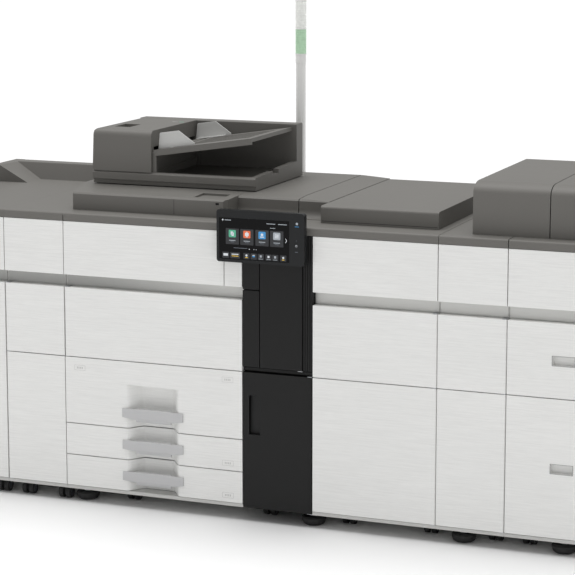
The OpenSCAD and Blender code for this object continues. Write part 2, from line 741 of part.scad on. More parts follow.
// The finisher's output tray, with the plate that rides on the casing's rails
module stacker_tray() color(deck_grey) placed() {
    lean = tan(8);
    front_profile(stacker_y, [[-5 - fit, stacker_z - 60], [-5 - fit, stacker_z + 12],
        [-16, stacker_z + 12], [-24, stacker_z],
        [-stacker_reach, stacker_z + (stacker_reach - 24) * lean],
        [-stacker_reach, stacker_z - stacker_t + (stacker_reach - 24) * lean],
        [-60, stacker_z - 18], [-16, stacker_z - 60]]);
}

// The y-z outline of the scanner's housing, with a hollow foot where its face is set back
function scanner_outline(z, face_y) =
    let (r = 26, toe = 1.5, top = deck_h + scanner_h)
    concat([[body_d, z], [body_d, top - 4], [body_d - 4, top], [adf_y, top], [face_y + 6, top - 4],
        [face_y, top - 10]], arc([face_y - r, deck_h + r + toe], r, 0, -90, 6), [[face_y - r, z]]);

// The scanner: shelf, right-hand part, carriage bay, glass rebate and the hinges of the document feeder
module scanner_housing() color(deck_grey) placed() {
    left = x_eng - 56;
    step_x = x_col - 89;
    top = scanner_top;
    difference() {
        union() {
            difference() {
                translate([0, 0, scanner_z]) linear_extrude(top - scanner_z) polygon([[x_eng - 2, shelf_y],
                    [step_x - 12, shelf_y], [step_x, shelf_y + 12], [step_x, body_d], [left, body_d],
                    [left, adf_y + 15], [left + 24, adf_y - 53]]);
                side_profile([left - 1, step_x + 1], [[shelf_y - 1, deck_h + shelf_h - 6],
                    [shelf_y, deck_h + shelf_h - 6], [shelf_y + 6, deck_h + shelf_h], [adf_y, top], [adf_y, top + 1],
                    [shelf_y - 1, top + 1]]);
            }
            side_profile([step_x - 1, column_top_x], scanner_outline(scanner_z, step_y));
        }
        block(bay_x, bay_y, [deck_h + 6, top - 8]);
        block([glass_x, glass_x + glass_w], [glass_y, glass_y + glass_d], [top - glass_t, top + 1]);
        block([glass_x + 8, glass_x + glass_w - 8], [glass_y + 8, glass_y + glass_d - 8], [top - 10, top + 1]);
        // Shallow pocket in the shelf
        block([step_x - 130, step_x - 30], [shelf_y + 30, shelf_y + 110], [deck_h + shelf_h - 4, top + 1]);
    }
    // Hinge posts and pins behind the document feeder
    for (x = [adf_x + 90, adf_x + adf_w - 90]) {
        for (side = [-1, 1])
            block([x + side * 26 - 6, x + side * 26 + 6], [adf_hinge_y - 5, adf_hinge_y + 10],
                [top - 1, adf_hinge_z + 5]);
        bar_x(adf_hinge_y, adf_hinge_z, adf_pin_r, [x - 28, x + 28]);
    }
    // Rail of the scan carriage
    block([bay_x[0] - 1, bay_x[1] + 1], [bay_y[0] + 40, bay_y[0] + 52], [deck_h + 5, deck_h + 12]);
}

module platen_glass() color([0.75, 0.85, 0.88, 0.4]) placed()
    block([glass_x + fit, glass_x + glass_w - fit], [glass_y + fit, glass_y + glass_d - fit],
        [scanner_top - glass_t + fit, scanner_top]);

module scan_carriage() color(black) placed()
    block([bay_x[0] + 4, bay_x[0] + 52], [bay_y[0] + 4, bay_y[1] - 4], [deck_h + 12.3, deck_h + 46]);

// The document feeder's base, its rear wall, the feed unit's lower frame and the hinge barrels
module adf_body() color(deck_grey) placed() {
    x0 = adf_x;
    x1 = adf_x + adf_w;
    wall_y = adf_back - adf_wall;
    frame_x = [x0 + 20, cover_x1 - 8];
    difference() {
        union() {
            side_profile([x0, x1], [[adf_y + 8, adf_z], [adf_back, adf_z], [adf_back, adf_floor + 12],
                [wall_y, adf_floor + 12], [adf_y + 6, adf_floor], [adf_y, adf_floor - 6], [adf_y, adf_z + 16],
                [adf_y + 8, adf_z + 14]]);
            side_profile([x0, x1], [[wall_y, adf_floor], [adf_back, adf_floor], [adf_back, adf_top - 5],
                [adf_back - 5, adf_top], [wall_y + 2, adf_top], [wall_y, adf_top - 2]]);
        }
        // Pocket where the copied sheets land
        block([cover_x1 + 4, x1 - 20], [adf_y + 22, wall_y], [adf_floor - 16, adf_floor + 13]);
        // Well under the feed cover
        block([x0 - 1, cover_x1], [adf_y - 1, wall_y], [adf_floor, adf_floor + 13]);
        // Stop notch in the right-hand rim
        block([x1 - 21, x1 + 1], [adf_y + 160, adf_y + 215], [adf_floor - 8, adf_floor + 13]);
    }
    // Lower frame of the feed unit and the bearings of the feed roller
    difference() {
        union() {
            block([frame_x[0] + 20, frame_x[1]], [adf_y + 20, wall_y - 14], [adf_floor - 1, adf_floor + 14]);
            for (y = [adf_y + 90, wall_y - 98])
                block([roller_x - 12, roller_x + 12], [y, y + 8], [adf_floor, roller_z + 10]);
        }
        bar_y(roller_x, roller_z, roller_shaft_r + shaft_clear, [adf_y + 60, wall_y - 60]);
    }
    // Posts and pins of the feed cover
    for (y = cover_post_y) {
        block([cover_hinge_x - 4, cover_hinge_x + 4], [y - 6, y + 6], [adf_floor - 1, cover_hinge_z + 4]);
        bar_y(cover_hinge_x, cover_hinge_z, cover_pin_r, [y - 15, y + 15]);
    }
    // Posts and pins that carry the document tray
    for (y = [[doc_y0 + 2, doc_y0 + 10], [doc_y1 - 10, doc_y1 - 2]]) {
        block([doc_x - 9, doc_x + 5], y, [adf_floor - 17, doc_z + 4]);
        bar_y(doc_x, doc_z, doc_pin_r, y == [doc_y0 + 2, doc_y0 + 10] ? [y[0], y[1] + 10] : [y[0] - 10, y[1]]);
    }
    for (x = [adf_x + 90, adf_x + adf_w - 90]) difference() {
        union() {
            bar_x(adf_hinge_y, adf_hinge_z, adf_hinge_r, [x - 19, x + 19]);
            block([x - 19, x + 19], [adf_back - 1, adf_hinge_y], [adf_hinge_z - 5, adf_hinge_z + adf_hinge_r]);
        }
        bar_x(adf_hinge_y, adf_hinge_z, adf_pin_r + shaft_clear, [x - 20, x + 20]);
    }
}

// The hinged cover over the feed roller
module adf_feed_cover() color(deck_grey) placed() {
    z0 = adf_floor + door_gap;
    r = cover_hinge_r;
    top_r = 22;
    y1 = adf_back - adf_wall - 1;
    difference() {
        union() {
            bar_y(cover_hinge_x, cover_hinge_z, r, [adf_y, y1]);
            intersection() {
                side_profile([adf_x, cover_x1], concat([[y1, z0], [y1, adf_top - 2], [y1 - 2, adf_top]],
                    arc([adf_y + top_r, adf_top - top_r], top_r, 90, 180), [[adf_y, z0]]));
                front_profile([adf_y - 1, y1 + 1], concat(arc([adf_x + r, z0 + r], r, 180, 270),
                    [[cover_x1, z0], [cover_x1, adf_top - 2], [cover_x1 - 2, adf_top + 1], [adf_x + 12, adf_top + 1],
                    [adf_x + 5, adf_top - 6]]));
            }
        }
        for (y = cover_post_y) {
            block([adf_x - 1, cover_hinge_x + 12], [y - 6.5, y + 6.5], [z0 - 1, cover_hinge_z + 12]);
            bar_y(cover_hinge_x, cover_hinge_z, cover_pin_r + shaft_clear, [y - 17, y + 17]);
        }
        block([adf_x + 17, cover_x1 - 6], [adf_y + 10, y1 - 8], [z0 - 1, adf_top - 32]);
        // Slot where the originals go in
        block([cover_x1 - 7, cover_x1 + 1], [doc_y0 + 14, doc_y1 - 14], [doc_z - 4, doc_z + 22]);
        // Finger recess in the top
        block([adf_x + 42, adf_x + 100], [adf_y + 90, adf_y + 180], [adf_top - 12, adf_top + 1]);
    }
}

module adf_feed_roller() color(black) placed() {
    y = [adf_y + 90 + 8, adf_back - adf_wall - 98];
    bar_y(roller_x, roller_z, roller_r, [y[0] + 40, y[1] - 40]);
    bar_y(roller_x, roller_z, roller_shaft_r, [y[0] - 10, y[1] + 10]);
}

// Puts children into the document tray's own slope, with the pivot as their origin
module on_tray() translate([doc_x, 0, doc_z]) rotate([0, -tray_slope, 0]) children();

// The sloping tray that holds the originals
module document_tray() color(deck_grey) placed() on_tray() {
    difference() {
        union() {
            block([6, doc_l], [doc_y0, doc_y1], [0, doc_t]);
            block([4, doc_l], [doc_y0, doc_y0 + 6], [-8, doc_t]);
            bar_y(0, 0, doc_axis_r, [doc_y0 + 11, doc_y1 - 11]);
            block([0, 8], [doc_y0 + 11, doc_y1 - 11], [0, doc_axis_r]);
            block([-3, 21], [doc_y0, doc_y0 + 1.5], [-8, doc_t]);
        }
        bar_y(0, 0, doc_pin_r + shaft_clear, [doc_y0 + 10, doc_y0 + 22]);
        bar_y(0, 0, doc_pin_r + shaft_clear, [doc_y1 - 22, doc_y1 - 10]);
        // Groove in which the two guides slide
        block([50, 62], [doc_mid_y - guide_gap / 2 - 6, doc_mid_y + guide_gap / 2 + 6], [doc_t - 6, doc_t + 1]);
        block([3, 20], [doc_y0 + 1.5, doc_y0 + 11], [-9, doc_t + 1]);
        block([3, 20], [doc_y1 - 11, doc_y1 + 1], [-9, doc_t + 1]);
    }
}

// A guide with a sloped end, and the foot that runs in the tray's groove
module document_guide(y, inward) on_tray() {
    z = doc_t + 0.3;
    front_profile([y - 2, y + 2], [[4, z], [guide_l, z], [guide_l, z + 6], [guide_l - 52, z + guide_h],
        [19, z + guide_h], [17, z + guide_h - 2]]);
    block([14, guide_l - 20], inward > 0 ? [y, y + 26] : [y - 26, y], [z, z + 3]);
    block([51, 61], [y - 5, y + 5], [doc_t - 5.7, z + 1]);
}

module document_guide_front() color(light_grey) placed() document_guide(doc_mid_y - guide_gap / 2, 1);
module document_guide_rear() color(light_grey) placed() document_guide(doc_mid_y + guide_gap / 2, -1);

// The post on the deck with the barrel about which the panel tilts
module panel_arm() color(black) placed() {
    x = [panel_mid_x - barrel_l / 2, panel_mid_x + barrel_l / 2];
    block(x, [12, 60], [deck_h + fit, deck_h + 8]);
    block(x, [barrel_y, barrel_y + 14], [barrel_z - 14, barrel_z]);
    bar_x(barrel_y, barrel_z, barrel_r, x);
    bar_x(barrel_y, barrel_z, barrel_pin_r, [x[0] - ear_t, x[1] + ear_t]);
}

// The panel's shell with its two ears, the screen's pocket and the key's hole
module control_panel() color(black) placed() {
    y = [-panel_proud, -panel_proud + panel_t];
    difference() {
        union() {
            translate([panel_x, y[1], panel_z]) rotate([90, 0, 0]) linear_extrude(panel_t)
                polygon(round_rect(panel_w, panel_h, 9));
            for (side = [-1, 1]) {
                ear_x = panel_mid_x + side * (barrel_l / 2 + 0.3 + ear_t / 2);
                ear = [ear_x - ear_t / 2, ear_x + ear_t / 2];
                bar_x(barrel_y, barrel_z, barrel_r, ear);
                block(ear, [y[1] - 1, barrel_y], [barrel_z - barrel_r, barrel_z + barrel_r]);
            }
        }
        for (side = [-1, 1])
            bar_x(barrel_y, barrel_z, barrel_pin_r + shaft_clear, side < 0
                ? [panel_mid_x - barrel_l / 2 - ear_t - 2, panel_mid_x - barrel_l / 2]
                : [panel_mid_x + barrel_l / 2, panel_mid_x + barrel_l / 2 + ear_t + 2]);
        block([panel_x + 10, panel_x + panel_w - 52], [y[0] - 1, y[0] + 3], [panel_z + 10, panel_z + panel_h - 26]);
        bar_y(key_x, key_z, key_r + 0.4, [y[0] - 1, y[0] + 8]);
    }
}

module touch_screen() color([0.05, 0.05, 0.06]) placed()
    block([panel_x + 10 + fit, panel_x + panel_w - 52 - fit], [-panel_proud + 0.4, -panel_proud + 3 - fit],
        [panel_z + 10 + fit, panel_z + panel_h - 26 - fit]);

// The key in the panel's right-hand border
module power_key() color(black) placed() bar_y(key_x, key_z, key_r, [-panel_proud, -panel_proud + 5.5]);

// The pole behind the engine, with its bracket and the collar under the lenses
pole_x = x_col - 120;
module signal_pole() color([0.85, 0.85, 0.84]) placed() {
    y = body_d + pole_back;
    foot_z = deck_h - 160;
    translate([pole_x, y, foot_z]) cylinder(r = pole_r - 1.5, h = tube_top - foot_z);
    translate([pole_x, y, tube_top - 1]) cylinder(r = pole_r, h = collar_h + 1);
    for (z = [foot_z + 10, deck_h - 50])
        block([pole_x - 30, pole_x + 30], [body_d + fit, y - pole_r + 4], [z, z + 24]);
}

module lens(z, h) translate([pole_x, body_d + pole_back, z]) cylinder(r = pole_r, h = h);
module signal_lens_green() color([0.6, 0.85, 0.65]) placed() lens(tube_top + collar_h + fit, green_h);
module signal_lens_clear() color([0.88, 0.88, 0.88]) placed()
    lens(tube_top + collar_h + green_h + 2 * fit, clear_h);

function bottle_z(i) = toner_door_z + 70 + i * 160;
module toner_bottles() color([0.2, 0.2, 0.22]) placed() for (i = [0, 1]) {
    x = x_col + column_w / 2;
    z = bottle_z(i);
    bar_y(x, z, bottle_r, [75, 59 + bottle_l]);
    bar_y(x, z, bottle_r * 0.6, [58, 76]);
    block([x - 4, x + 4], [50, 60], [z - bottle_r * 0.5, z + bottle_r * 0.5]);
}

// A roller between the inner plates, with a shaft through both
module roller(x, z, r, shaft) {
    bar_y(x, z, r, [inner_front_y + inner_t + 2, inner_rear_y - 2]);
    bar_y(x, z, shaft, [inner_front_y - shaft_out, inner_rear_y + inner_t + shaft_out]);
}

module photoconductor_drum() color([0.25, 0.45, 0.42]) placed() roller(drum_x, drum_z, drum_r, drum_shaft_r);
module fuser_upper_roller() color([0.6, 0.35, 0.2]) placed()
    roller(fuser_x, fuser_upper_z, fuser_upper_r, fuser_shaft_r);
module fuser_lower_roller() color([0.3, 0.3, 0.3]) placed()
    roller(fuser_x, fuser_lower_z, fuser_lower_r, fuser_shaft_r);

// The inlet for the mains lead, low on the engine's back
module power_inlet() color(black) placed() difference() {
    block([x_col - 160, x_col - 100], [body_d + fit, body_d + 16], [120, 165]);
    block([x_col - 150, x_col - 110], [body_d + 4, body_d + 17], [130, 155]);
}

finisher_casing();
relay_casing();
engine_casing();
column_frame();
feeder_1_casing();
feeder_2_casing();
feeder_3_casing();
finisher_top_cover();
engine_top_cover();
feeder_top_covers();
upper_front_panels();
grip_bands();
hinge_plates();
levelling_feet();
caster_forks();
relay_caster_wheels();
front_caster_wheels();
rear_caster_wheels();
finisher_front_door();
relay_upper_door();
relay_lower_door();
engine_front_door();
tray_1();
tray_1_handle();
tray_2();
tray_2_handle();
tray_3();
tray_3_handle();
toner_door();
column_lower_door();
feeder_1_upper_door();
feeder_1_lower_door();
feeder_2_upper_door();
feeder_2_lower_door();
feeder_3_upper_drawer();
feeder_3_lower_drawer();
feeder_1_lid();
bypass_lid();
stacker_tray();
scanner_housing();
platen_glass();
scan_carriage();
adf_body();
adf_feed_cover();
adf_feed_roller();
document_tray();
document_guide_front();
document_guide_rear();
panel_arm();
control_panel();
touch_screen();
power_key();
signal_pole();
signal_lens_green();
signal_lens_clear();
toner_bottles();
photoconductor_drum();
fuser_upper_roller();
fuser_lower_roller();
power_inlet();
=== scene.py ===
import json
import math

import bmesh
import bpy
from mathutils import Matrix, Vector


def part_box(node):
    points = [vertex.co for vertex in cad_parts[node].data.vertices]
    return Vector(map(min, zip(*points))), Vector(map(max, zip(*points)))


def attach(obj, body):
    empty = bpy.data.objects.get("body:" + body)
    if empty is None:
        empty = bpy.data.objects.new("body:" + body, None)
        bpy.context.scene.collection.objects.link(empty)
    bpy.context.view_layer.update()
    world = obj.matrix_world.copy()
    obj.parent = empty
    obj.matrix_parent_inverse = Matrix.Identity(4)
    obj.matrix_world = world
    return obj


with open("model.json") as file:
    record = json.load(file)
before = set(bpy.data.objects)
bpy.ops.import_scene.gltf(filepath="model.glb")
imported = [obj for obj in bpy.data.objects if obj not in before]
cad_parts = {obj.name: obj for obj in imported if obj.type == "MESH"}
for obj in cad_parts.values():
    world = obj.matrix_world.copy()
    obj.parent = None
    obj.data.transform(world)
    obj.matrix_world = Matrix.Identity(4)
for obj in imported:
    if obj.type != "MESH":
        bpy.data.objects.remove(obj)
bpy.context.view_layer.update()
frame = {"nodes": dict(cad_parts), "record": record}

MM = 0.001
ROOT = "machine"
DECK = 1.0           # height of the decks above the floor
SCREW_R = 0.0042     # heads of the screws in the rear and side covers
REAR_COVERS = ((0.066, 0.518), (0.522, 0.960))    # lower and upper ends of the rear covers
SIDE_COVERS = ((0.066, 0.518), (0.522, 0.962))    # the same on the last feeder's side
SLOPE_TRAY = math.radians(8.6)       # document tray
SLOPE_STACKER = math.radians(8)      # stacker tray
FEEDERS = ("feeder_1_casing", "feeder_2_casing", "feeder_3_casing")
MODULES = ("finisher_casing", "relay_casing", "engine_casing", "column_frame") + FEEDERS


# ---------------------------------------------------------------- materials
def srgb(*levels):
    """Linear colour of three screen levels from 0 to 255."""
    return tuple((v / 255 / 12.92) if v < 11 else ((v / 255 + 0.055) / 1.055) ** 2.4 for v in levels) + (1.0,)


class Surface:
    """One node material: a base colour broken up by noise, with roughness and bump from the same nodes."""

    def __init__(self, name, colour, roughness, metallic=0.0):
        self.mat = bpy.data.materials.new(name)
        self.mat.use_nodes = True
        self.tree = self.mat.node_tree
        self.shader = self.tree.nodes["Principled BSDF"]
        self.shader.inputs["Base Color"].default_value = colour
        self.shader.inputs["Roughness"].default_value = roughness
        self.shader.inputs["Metallic"].default_value = metallic
        self.colour, self.roughness = colour, roughness

    def node(self, kind, **values):
        made = self.tree.nodes.new(kind)
        for key, value in values.items():
            setattr(made, key, value)
        return made

    def link(self, a, b):
        self.tree.links.new(a, b)

    def noise(self, stretch, detail=4.0, rough=0.55):
        """Noise in object coordinates; stretch is the number of features in a metre along x, y and z."""
        place = self.node("ShaderNodeTexCoord")
        scale = self.node("ShaderNodeMapping")
        scale.inputs["Scale"].default_value = stretch
        made = self.node("ShaderNodeTexNoise")
        made.inputs["Scale"].default_value = 1.0
        made.inputs["Detail"].default_value = detail
        made.inputs["Roughness"].default_value = rough
        self.link(place.outputs["Object"], scale.inputs["Vector"])
        self.link(scale.outputs["Vector"], made.inputs["Vector"])
        return made.outputs["Fac"]

    def tint(self, fac, dark, light, low=0.3, high=0.7):
        """The base colour runs from dark to light times itself as fac goes from low to high."""
        ramp = self.node("ShaderNodeMapRange")
        ramp.inputs["From Min"].default_value, ramp.inputs["From Max"].default_value = low, high
        ramp.inputs["To Min"].default_value, ramp.inputs["To Max"].default_value = dark, light
        mix = self.node("ShaderNodeMix", data_type="RGBA", blend_type="MULTIPLY")
        mix.inputs["Factor"].default_value = 1.0
        source = self.shader.inputs["Base Color"]
        if source.is_linked:
            self.link(source.links[0].from_socket, mix.inputs["A"])
        else:
            mix.inputs["A"].default_value = self.colour
        self.link(fac, ramp.inputs["Value"])
        self.link(ramp.outputs["Result"], mix.inputs["B"])
        self.link(mix.outputs["Result"], source)
        return self

    def gloss(self, fac, spread):
        """Roughness varies by spread either side of its mean."""
        ramp = self.node("ShaderNodeMapRange")
        ramp.inputs["To Min"].default_value = self.roughness - spread
        ramp.inputs["To Max"].default_value = self.roughness + spread
        self.link(fac, ramp.inputs["Value"])
        self.link(ramp.outputs["Result"], self.shader.inputs["Roughness"])
        return self

    def bump(self, fac, depth, strength=0.5):
        made = self.node("ShaderNodeBump")
        made.inputs["Strength"].default_value = strength
        made.inputs["Distance"].default_value = depth
        if self.shader.inputs["Normal"].is_linked:
            self.link(self.shader.inputs["Normal"].links[0].from_socket, made.inputs["Normal"])
        self.link(fac, made.inputs["Height"])
        self.link(made.outputs["Normal"], self.shader.inputs["Normal"])
        return self


def brushed_white():
    """White laminate with fine level streaks."""
    s = Surface("white_panel", srgb(244, 244, 242), 0.46)
    long, short, cloud = s.noise((7, 7, 230), 5, 0.7), s.noise((34, 34, 640), 3), s.noise((2.1, 2.1, 9), 3)
    s.tint(long, 0.93, 1.015, 0.30, 0.60).tint(short, 0.97, 1.01).tint(cloud, 0.985, 1.01)
    return s.gloss(long, 0.08).bump(long, 0.0002, 0.3).bump(short, 0.0001, 0.3).mat


def moulded(name, colour, roughness=0.55, grain=1400, depth=0.00012, mottle=0.05, shine=0.5):
    """Moulded plastic with a fine spark-eroded grain and faint mottling."""
    s = Surface(name, colour, roughness)
    s.shader.inputs["Specular IOR Level"].default_value = shine
    fine, cloud = s.noise((grain,) * 3, 2), s.noise((5, 5, 5), 4)
    s.tint(fine, 1 - mottle, 1 + mottle).tint(cloud, 1 - mottle / 2, 1 + mottle / 2)
    return s.gloss(cloud, 0.06).bump(fine, depth, 0.5).mat


def painted(name, colour, roughness=0.42):
    """Painted sheet with a slight orange peel."""
    s = Surface(name, colour, roughness)
    peel, cloud = s.noise((420,) * 3, 2), s.noise((3, 3, 3), 4)
    return s.tint(cloud, 0.96, 1.02).gloss(peel, 0.05).bump(peel, 0.00015, 0.35).mat


def metal(name, colour, roughness, stretch=(30, 30, 2600)):
    """Metal drawn or brushed along a level line."""
    s = Surface(name, colour, roughness, 0.85)
    lines, cloud = s.noise(stretch, 3), s.noise((4, 4, 4), 3)
    return s.tint(lines, 0.9, 1.06).tint(cloud, 0.92, 1.05).gloss(lines, 0.1).bump(lines, 0.00008, 0.5).mat


def band_metal():
    """The recessed metal band, darker over the engine than over the feeders: the metal's own tone plus a
    painted reflection that lightens it to the right and towards its top.
    """
    s = Surface("band_metal", srgb(203, 203, 200), 0.4, 0.35)
    lines = s.noise((20, 20, 2200), 3)
    s.tint(lines, 0.93, 1.04)
    place, split = s.node("ShaderNodeTexCoord"), s.node("ShaderNodeSeparateXYZ")
    s.link(place.outputs["Object"], split.inputs["Vector"])
    lo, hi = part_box("engine_front_door")
    low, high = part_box("grip_bands")
    # Across x: dark at the engine's left, lightening to the right towards the pale feeder bands; part metal
    # tone, part painted reflection.
    ramp = s.node("ShaderNodeMapRange", interpolation_type="SMOOTHSTEP")
    ramp.inputs["From Min"].default_value, ramp.inputs["From Max"].default_value = lo.x, hi.x + 0.1
    s.link(split.outputs["X"], ramp.inputs["Value"])
    # Painted reflection: the band lightens from its bottom to its top.
    painted_reflection = s.node("ShaderNodeMapRange")
    painted_reflection.inputs["From Min"].default_value, painted_reflection.inputs["From Max"].default_value = low.z, high.z
    painted_reflection.inputs["To Min"].default_value, painted_reflection.inputs["To Max"].default_value = -0.12, 0.16
    s.link(split.outputs["Z"], painted_reflection.inputs["Value"])
    tone_and_painted_reflection = s.node("ShaderNodeMath", operation="ADD")
    s.link(ramp.outputs["Result"], tone_and_painted_reflection.inputs[0])
    s.link(painted_reflection.outputs["Result"], tone_and_painted_reflection.inputs[1])
    s.tint(tone_and_painted_reflection.outputs["Value"], 0.58, 1.0, 0.0, 1.0)
    return s.bump(lines, 0.00006, 0.5).mat


def glass(name, colour, roughness=0.05, alpha=1.0, shine=0.5):
    """Smooth glass or lacquer with faint smears."""
    s = Surface(name, colour, roughness)
    smear = s.noise((14, 14, 9), 3)
    s.shader.inputs["Alpha"].default_value = alpha
    s.shader.inputs["Specular IOR Level"].default_value = shine
    return s.tint(smear, 0.93, 1.05).gloss(smear, 0.03).mat


def lens(name, colour, light):
    """A ribbed signal lens, lit faintly from inside."""
    s = Surface(name, colour, 0.18)
    wave = s.node("ShaderNodeTexWave", bands_direction="Z")
    place = s.node("ShaderNodeTexCoord")
    wave.inputs["Scale"].default_value = 52.0
    s.link(place.outputs["Object"], wave.inputs["Vector"])
    s.shader.inputs["Transmission Weight"].default_value = 0.35
    s.shader.inputs["Emission Color"].default_value = colour
    s.shader.inputs["Emission Strength"].default_value = light
    cloud = s.noise((40, 40, 14), 3)
    return s.tint(cloud, 0.86, 1.08).bump(wave.outputs["Fac"], 0.0012, 0.6).mat


def glow(name, colour, strength=0.6):
    """A lit patch of the display, with the faint unevenness of a backlight."""
    s = Surface(name, colour, 0.3)
    s.shader.inputs["Emission Color"].default_value = colour
    s.shader.inputs["Emission Strength"].default_value = strength
    return s.tint(s.noise((90, 90, 90), 2), 0.92, 1.05).mat


def rubber(name, colour):
    """Dull rubber with a little dust on it."""
    s = Surface(name, colour, 0.78)
    dust, fine = s.noise((60, 60, 60), 5), s.noise((900,) * 3, 2)
    return s.tint(dust, 0.8, 1.25).gloss(dust, 0.1).bump(fine, 0.0002, 0.6).mat


MATERIALS = {
    "white_panel": brushed_white(),
    "deck_grey": moulded("deck_grey", srgb(112, 110, 106), 0.52, shine=0.32),
    "frame_grey": painted("frame_grey", srgb(205, 205, 202)),
    "band_grey": band_metal(),
    "handle_grey": moulded("handle_grey", srgb(198, 198, 199), 0.36, 1600, 0.00006, 0.02),
    "guide_grey": moulded("guide_grey", srgb(205, 205, 203), 0.4, 1200, 0.00008, 0.03),
    "column_black": moulded("column_black", srgb(31, 31, 31), 0.42, 1300, 0.00014, 0.09, 0.2),
    "panel_black": moulded("panel_black", srgb(36, 37, 38), 0.34, 1500, 0.0001, 0.07, 0.2),
    "screen_glass": glass("screen_glass", srgb(10, 10, 11), 0.07, shine=0.12),
    "rubber_black": rubber("rubber_black", srgb(38, 38, 38)),
    "steel": metal("steel", srgb(200, 202, 205), 0.32),
    "platen": glass("platen", srgb(150, 172, 176), 0.04, 0.45),
    "pole_white": painted("pole_white", srgb(251, 251, 249), 0.16),
    "lens_green": lens("lens_green", srgb(184, 214, 186), 0.2),
    "lens_clear": lens("lens_clear", srgb(238, 239, 236), 0.16),
    "toner_plastic": moulded("toner_plastic", srgb(62, 63, 67), 0.45),
    "drum_green": glass("drum_green", srgb(60, 128, 118), 0.12),
    "fuser_red": rubber("fuser_red", srgb(150, 92, 62)),
}
GREEN_KNOB = moulded("knob_green", srgb(72, 158, 112), 0.4)
# Dark fill for seams, the grip liner and the sockets; also painted shade in cooling slots, screw recesses and
# grille openings.
DARK_GAP = moulded("gap_dark", srgb(34, 34, 34), 0.7)
PRINT_GREY = painted("print_grey", srgb(168, 169, 168), 0.5)
PRINT_LIGHT = painted("print_light", srgb(206, 206, 204), 0.5)
UI = {
    "white": glow("ui_white", srgb(196, 200, 204), 0.4),
    "green": glow("ui_green", srgb(74, 158, 126), 0.35),
    "orange": glow("ui_orange", srgb(208, 98, 58), 0.35),
    "blue": glow("ui_blue", srgb(56, 132, 186), 0.35),
    "grey": glow("ui_grey", srgb(150, 156, 162), 0.35),
    "card": glow("ui_card", srgb(36, 38, 42), 0.05),
    "yellow": glow("ui_yellow", srgb(226, 186, 64)),
    "dim": glow("ui_dim", srgb(96, 102, 110), 0.25),
}

slots = {part["node"]: part["material_slot"] for part in frame["record"]["subparts"]}
for name, node in frame["nodes"].items():
    node.data.materials.clear()
    node.data.materials.append(MATERIALS[slots[name]])


# ---------------------------------------------------------------- edges of the CAD nodes
EDGE = {"white_panel": 0.9, "deck_grey": 2.2, "column_black": 1.2, "panel_black": 1.6, "handle_grey": 2.0,
        "guide_grey": 0.7, "frame_grey": 1.2, "rubber_black": 1.5, "pole_white": 0.8, "lens_clear": 2.0}
for name, node in frame["nodes"].items():
    weld = node.modifiers.new("weld", "WELD")
    weld.merge_threshold = 1e-5
    bevel = node.modifiers.new("edges", "BEVEL")
    bevel.width = EDGE.get(slots[name], 0.6) * MM
    bevel.segments = 3 if slots[name] == "deck_grey" else 2
    bevel.limit_method = "ANGLE"
    bevel.angle_limit = math.radians(38)
    normals = node.modifiers.new("normals", "WEIGHTED_NORMAL")
    normals.keep_sharp = False


# ---------------------------------------------------------------- mesh helpers
PLACE = {"x": lambda u, v, w: (w, u, v), "y": lambda u, v, w: (u, w, v), "z": lambda u, v, w: (u, v, w)}


def add_prism(bm, outline, axis, low, high):
    """A closed prism: its outline lies across the axis, and it runs from low to high along it."""
    put = PLACE[axis]
    near = [bm.verts.new(put(u, v, low)) for u, v in outline]
    far = [bm.verts.new(put(u, v, high)) for u, v in outline]
    bm.faces.new(near)
    bm.faces.new(reversed(far))
    for i in range(len(near)):
        bm.faces.new((near[i], near[i - 1], far[i - 1], far[i]))


def piece(name, prisms, material, body=ROOT, bevel=0.0, segments=2):
    """One mesh of prisms (outline, axis, low, high) that rides on a body."""
    bm = bmesh.new()
    for prism in prisms:
        add_prism(bm, *prism)
    bmesh.ops.recalc_face_normals(bm, faces=bm.faces)
    mesh = bpy.data.meshes.new(name)
    bm.to_mesh(mesh)
    bm.free()
    obj = bpy.data.objects.new(name, mesh)
    bpy.context.scene.collection.objects.link(obj)
    mesh.materials.append(material)
    if bevel:
        edges = obj.modifiers.new("edges", "BEVEL")
        edges.width, edges.segments, edges.limit_method = bevel, segments, "ANGLE"
        edges.angle_limit = math.radians(35)
    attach(obj, body)
    return obj


def rect(u0, u1, v0, v1, r=0.0, steps=4):
    """A rectangle with rounded corners."""
    if r <= 0:
        return [(u0, v0), (u1, v0), (u1, v1), (u0, v1)]
    points = []
    corners = ((u1 - r, v0 + r, -90), (u1 - r, v1 - r, 0), (u0 + r, v1 - r, 90), (u0 + r, v0 + r, 180))
    for cu, cv, turn in corners:
        for i in range(steps + 1):
            a = math.radians(turn + 90 * i / steps)
            points.append((cu + r * math.cos(a), cv + r * math.sin(a)))
    return points


def disc(u, v, r, sides=24, turn=0.0):
    """A circle as a polygon."""
    return [(u + r * math.cos(turn + math.tau * i / sides), v + r * math.sin(turn + math.tau * i / sides))
            for i in range(sides)]


def frame_prisms(u0, u1, v0, v1, width, axis, low, high):
    """The four bars of a rectangular rim."""
    return [(rect(u0, u1, v0, v0 + width), axis, low, high), (rect(u0, u1, v1 - width, v1), axis, low, high),
            (rect(u0, u0 + width, v0 + width, v1 - width), axis, low, high),
            (rect(u1 - width, u1, v0 + width, v1 - width), axis, low, high)]


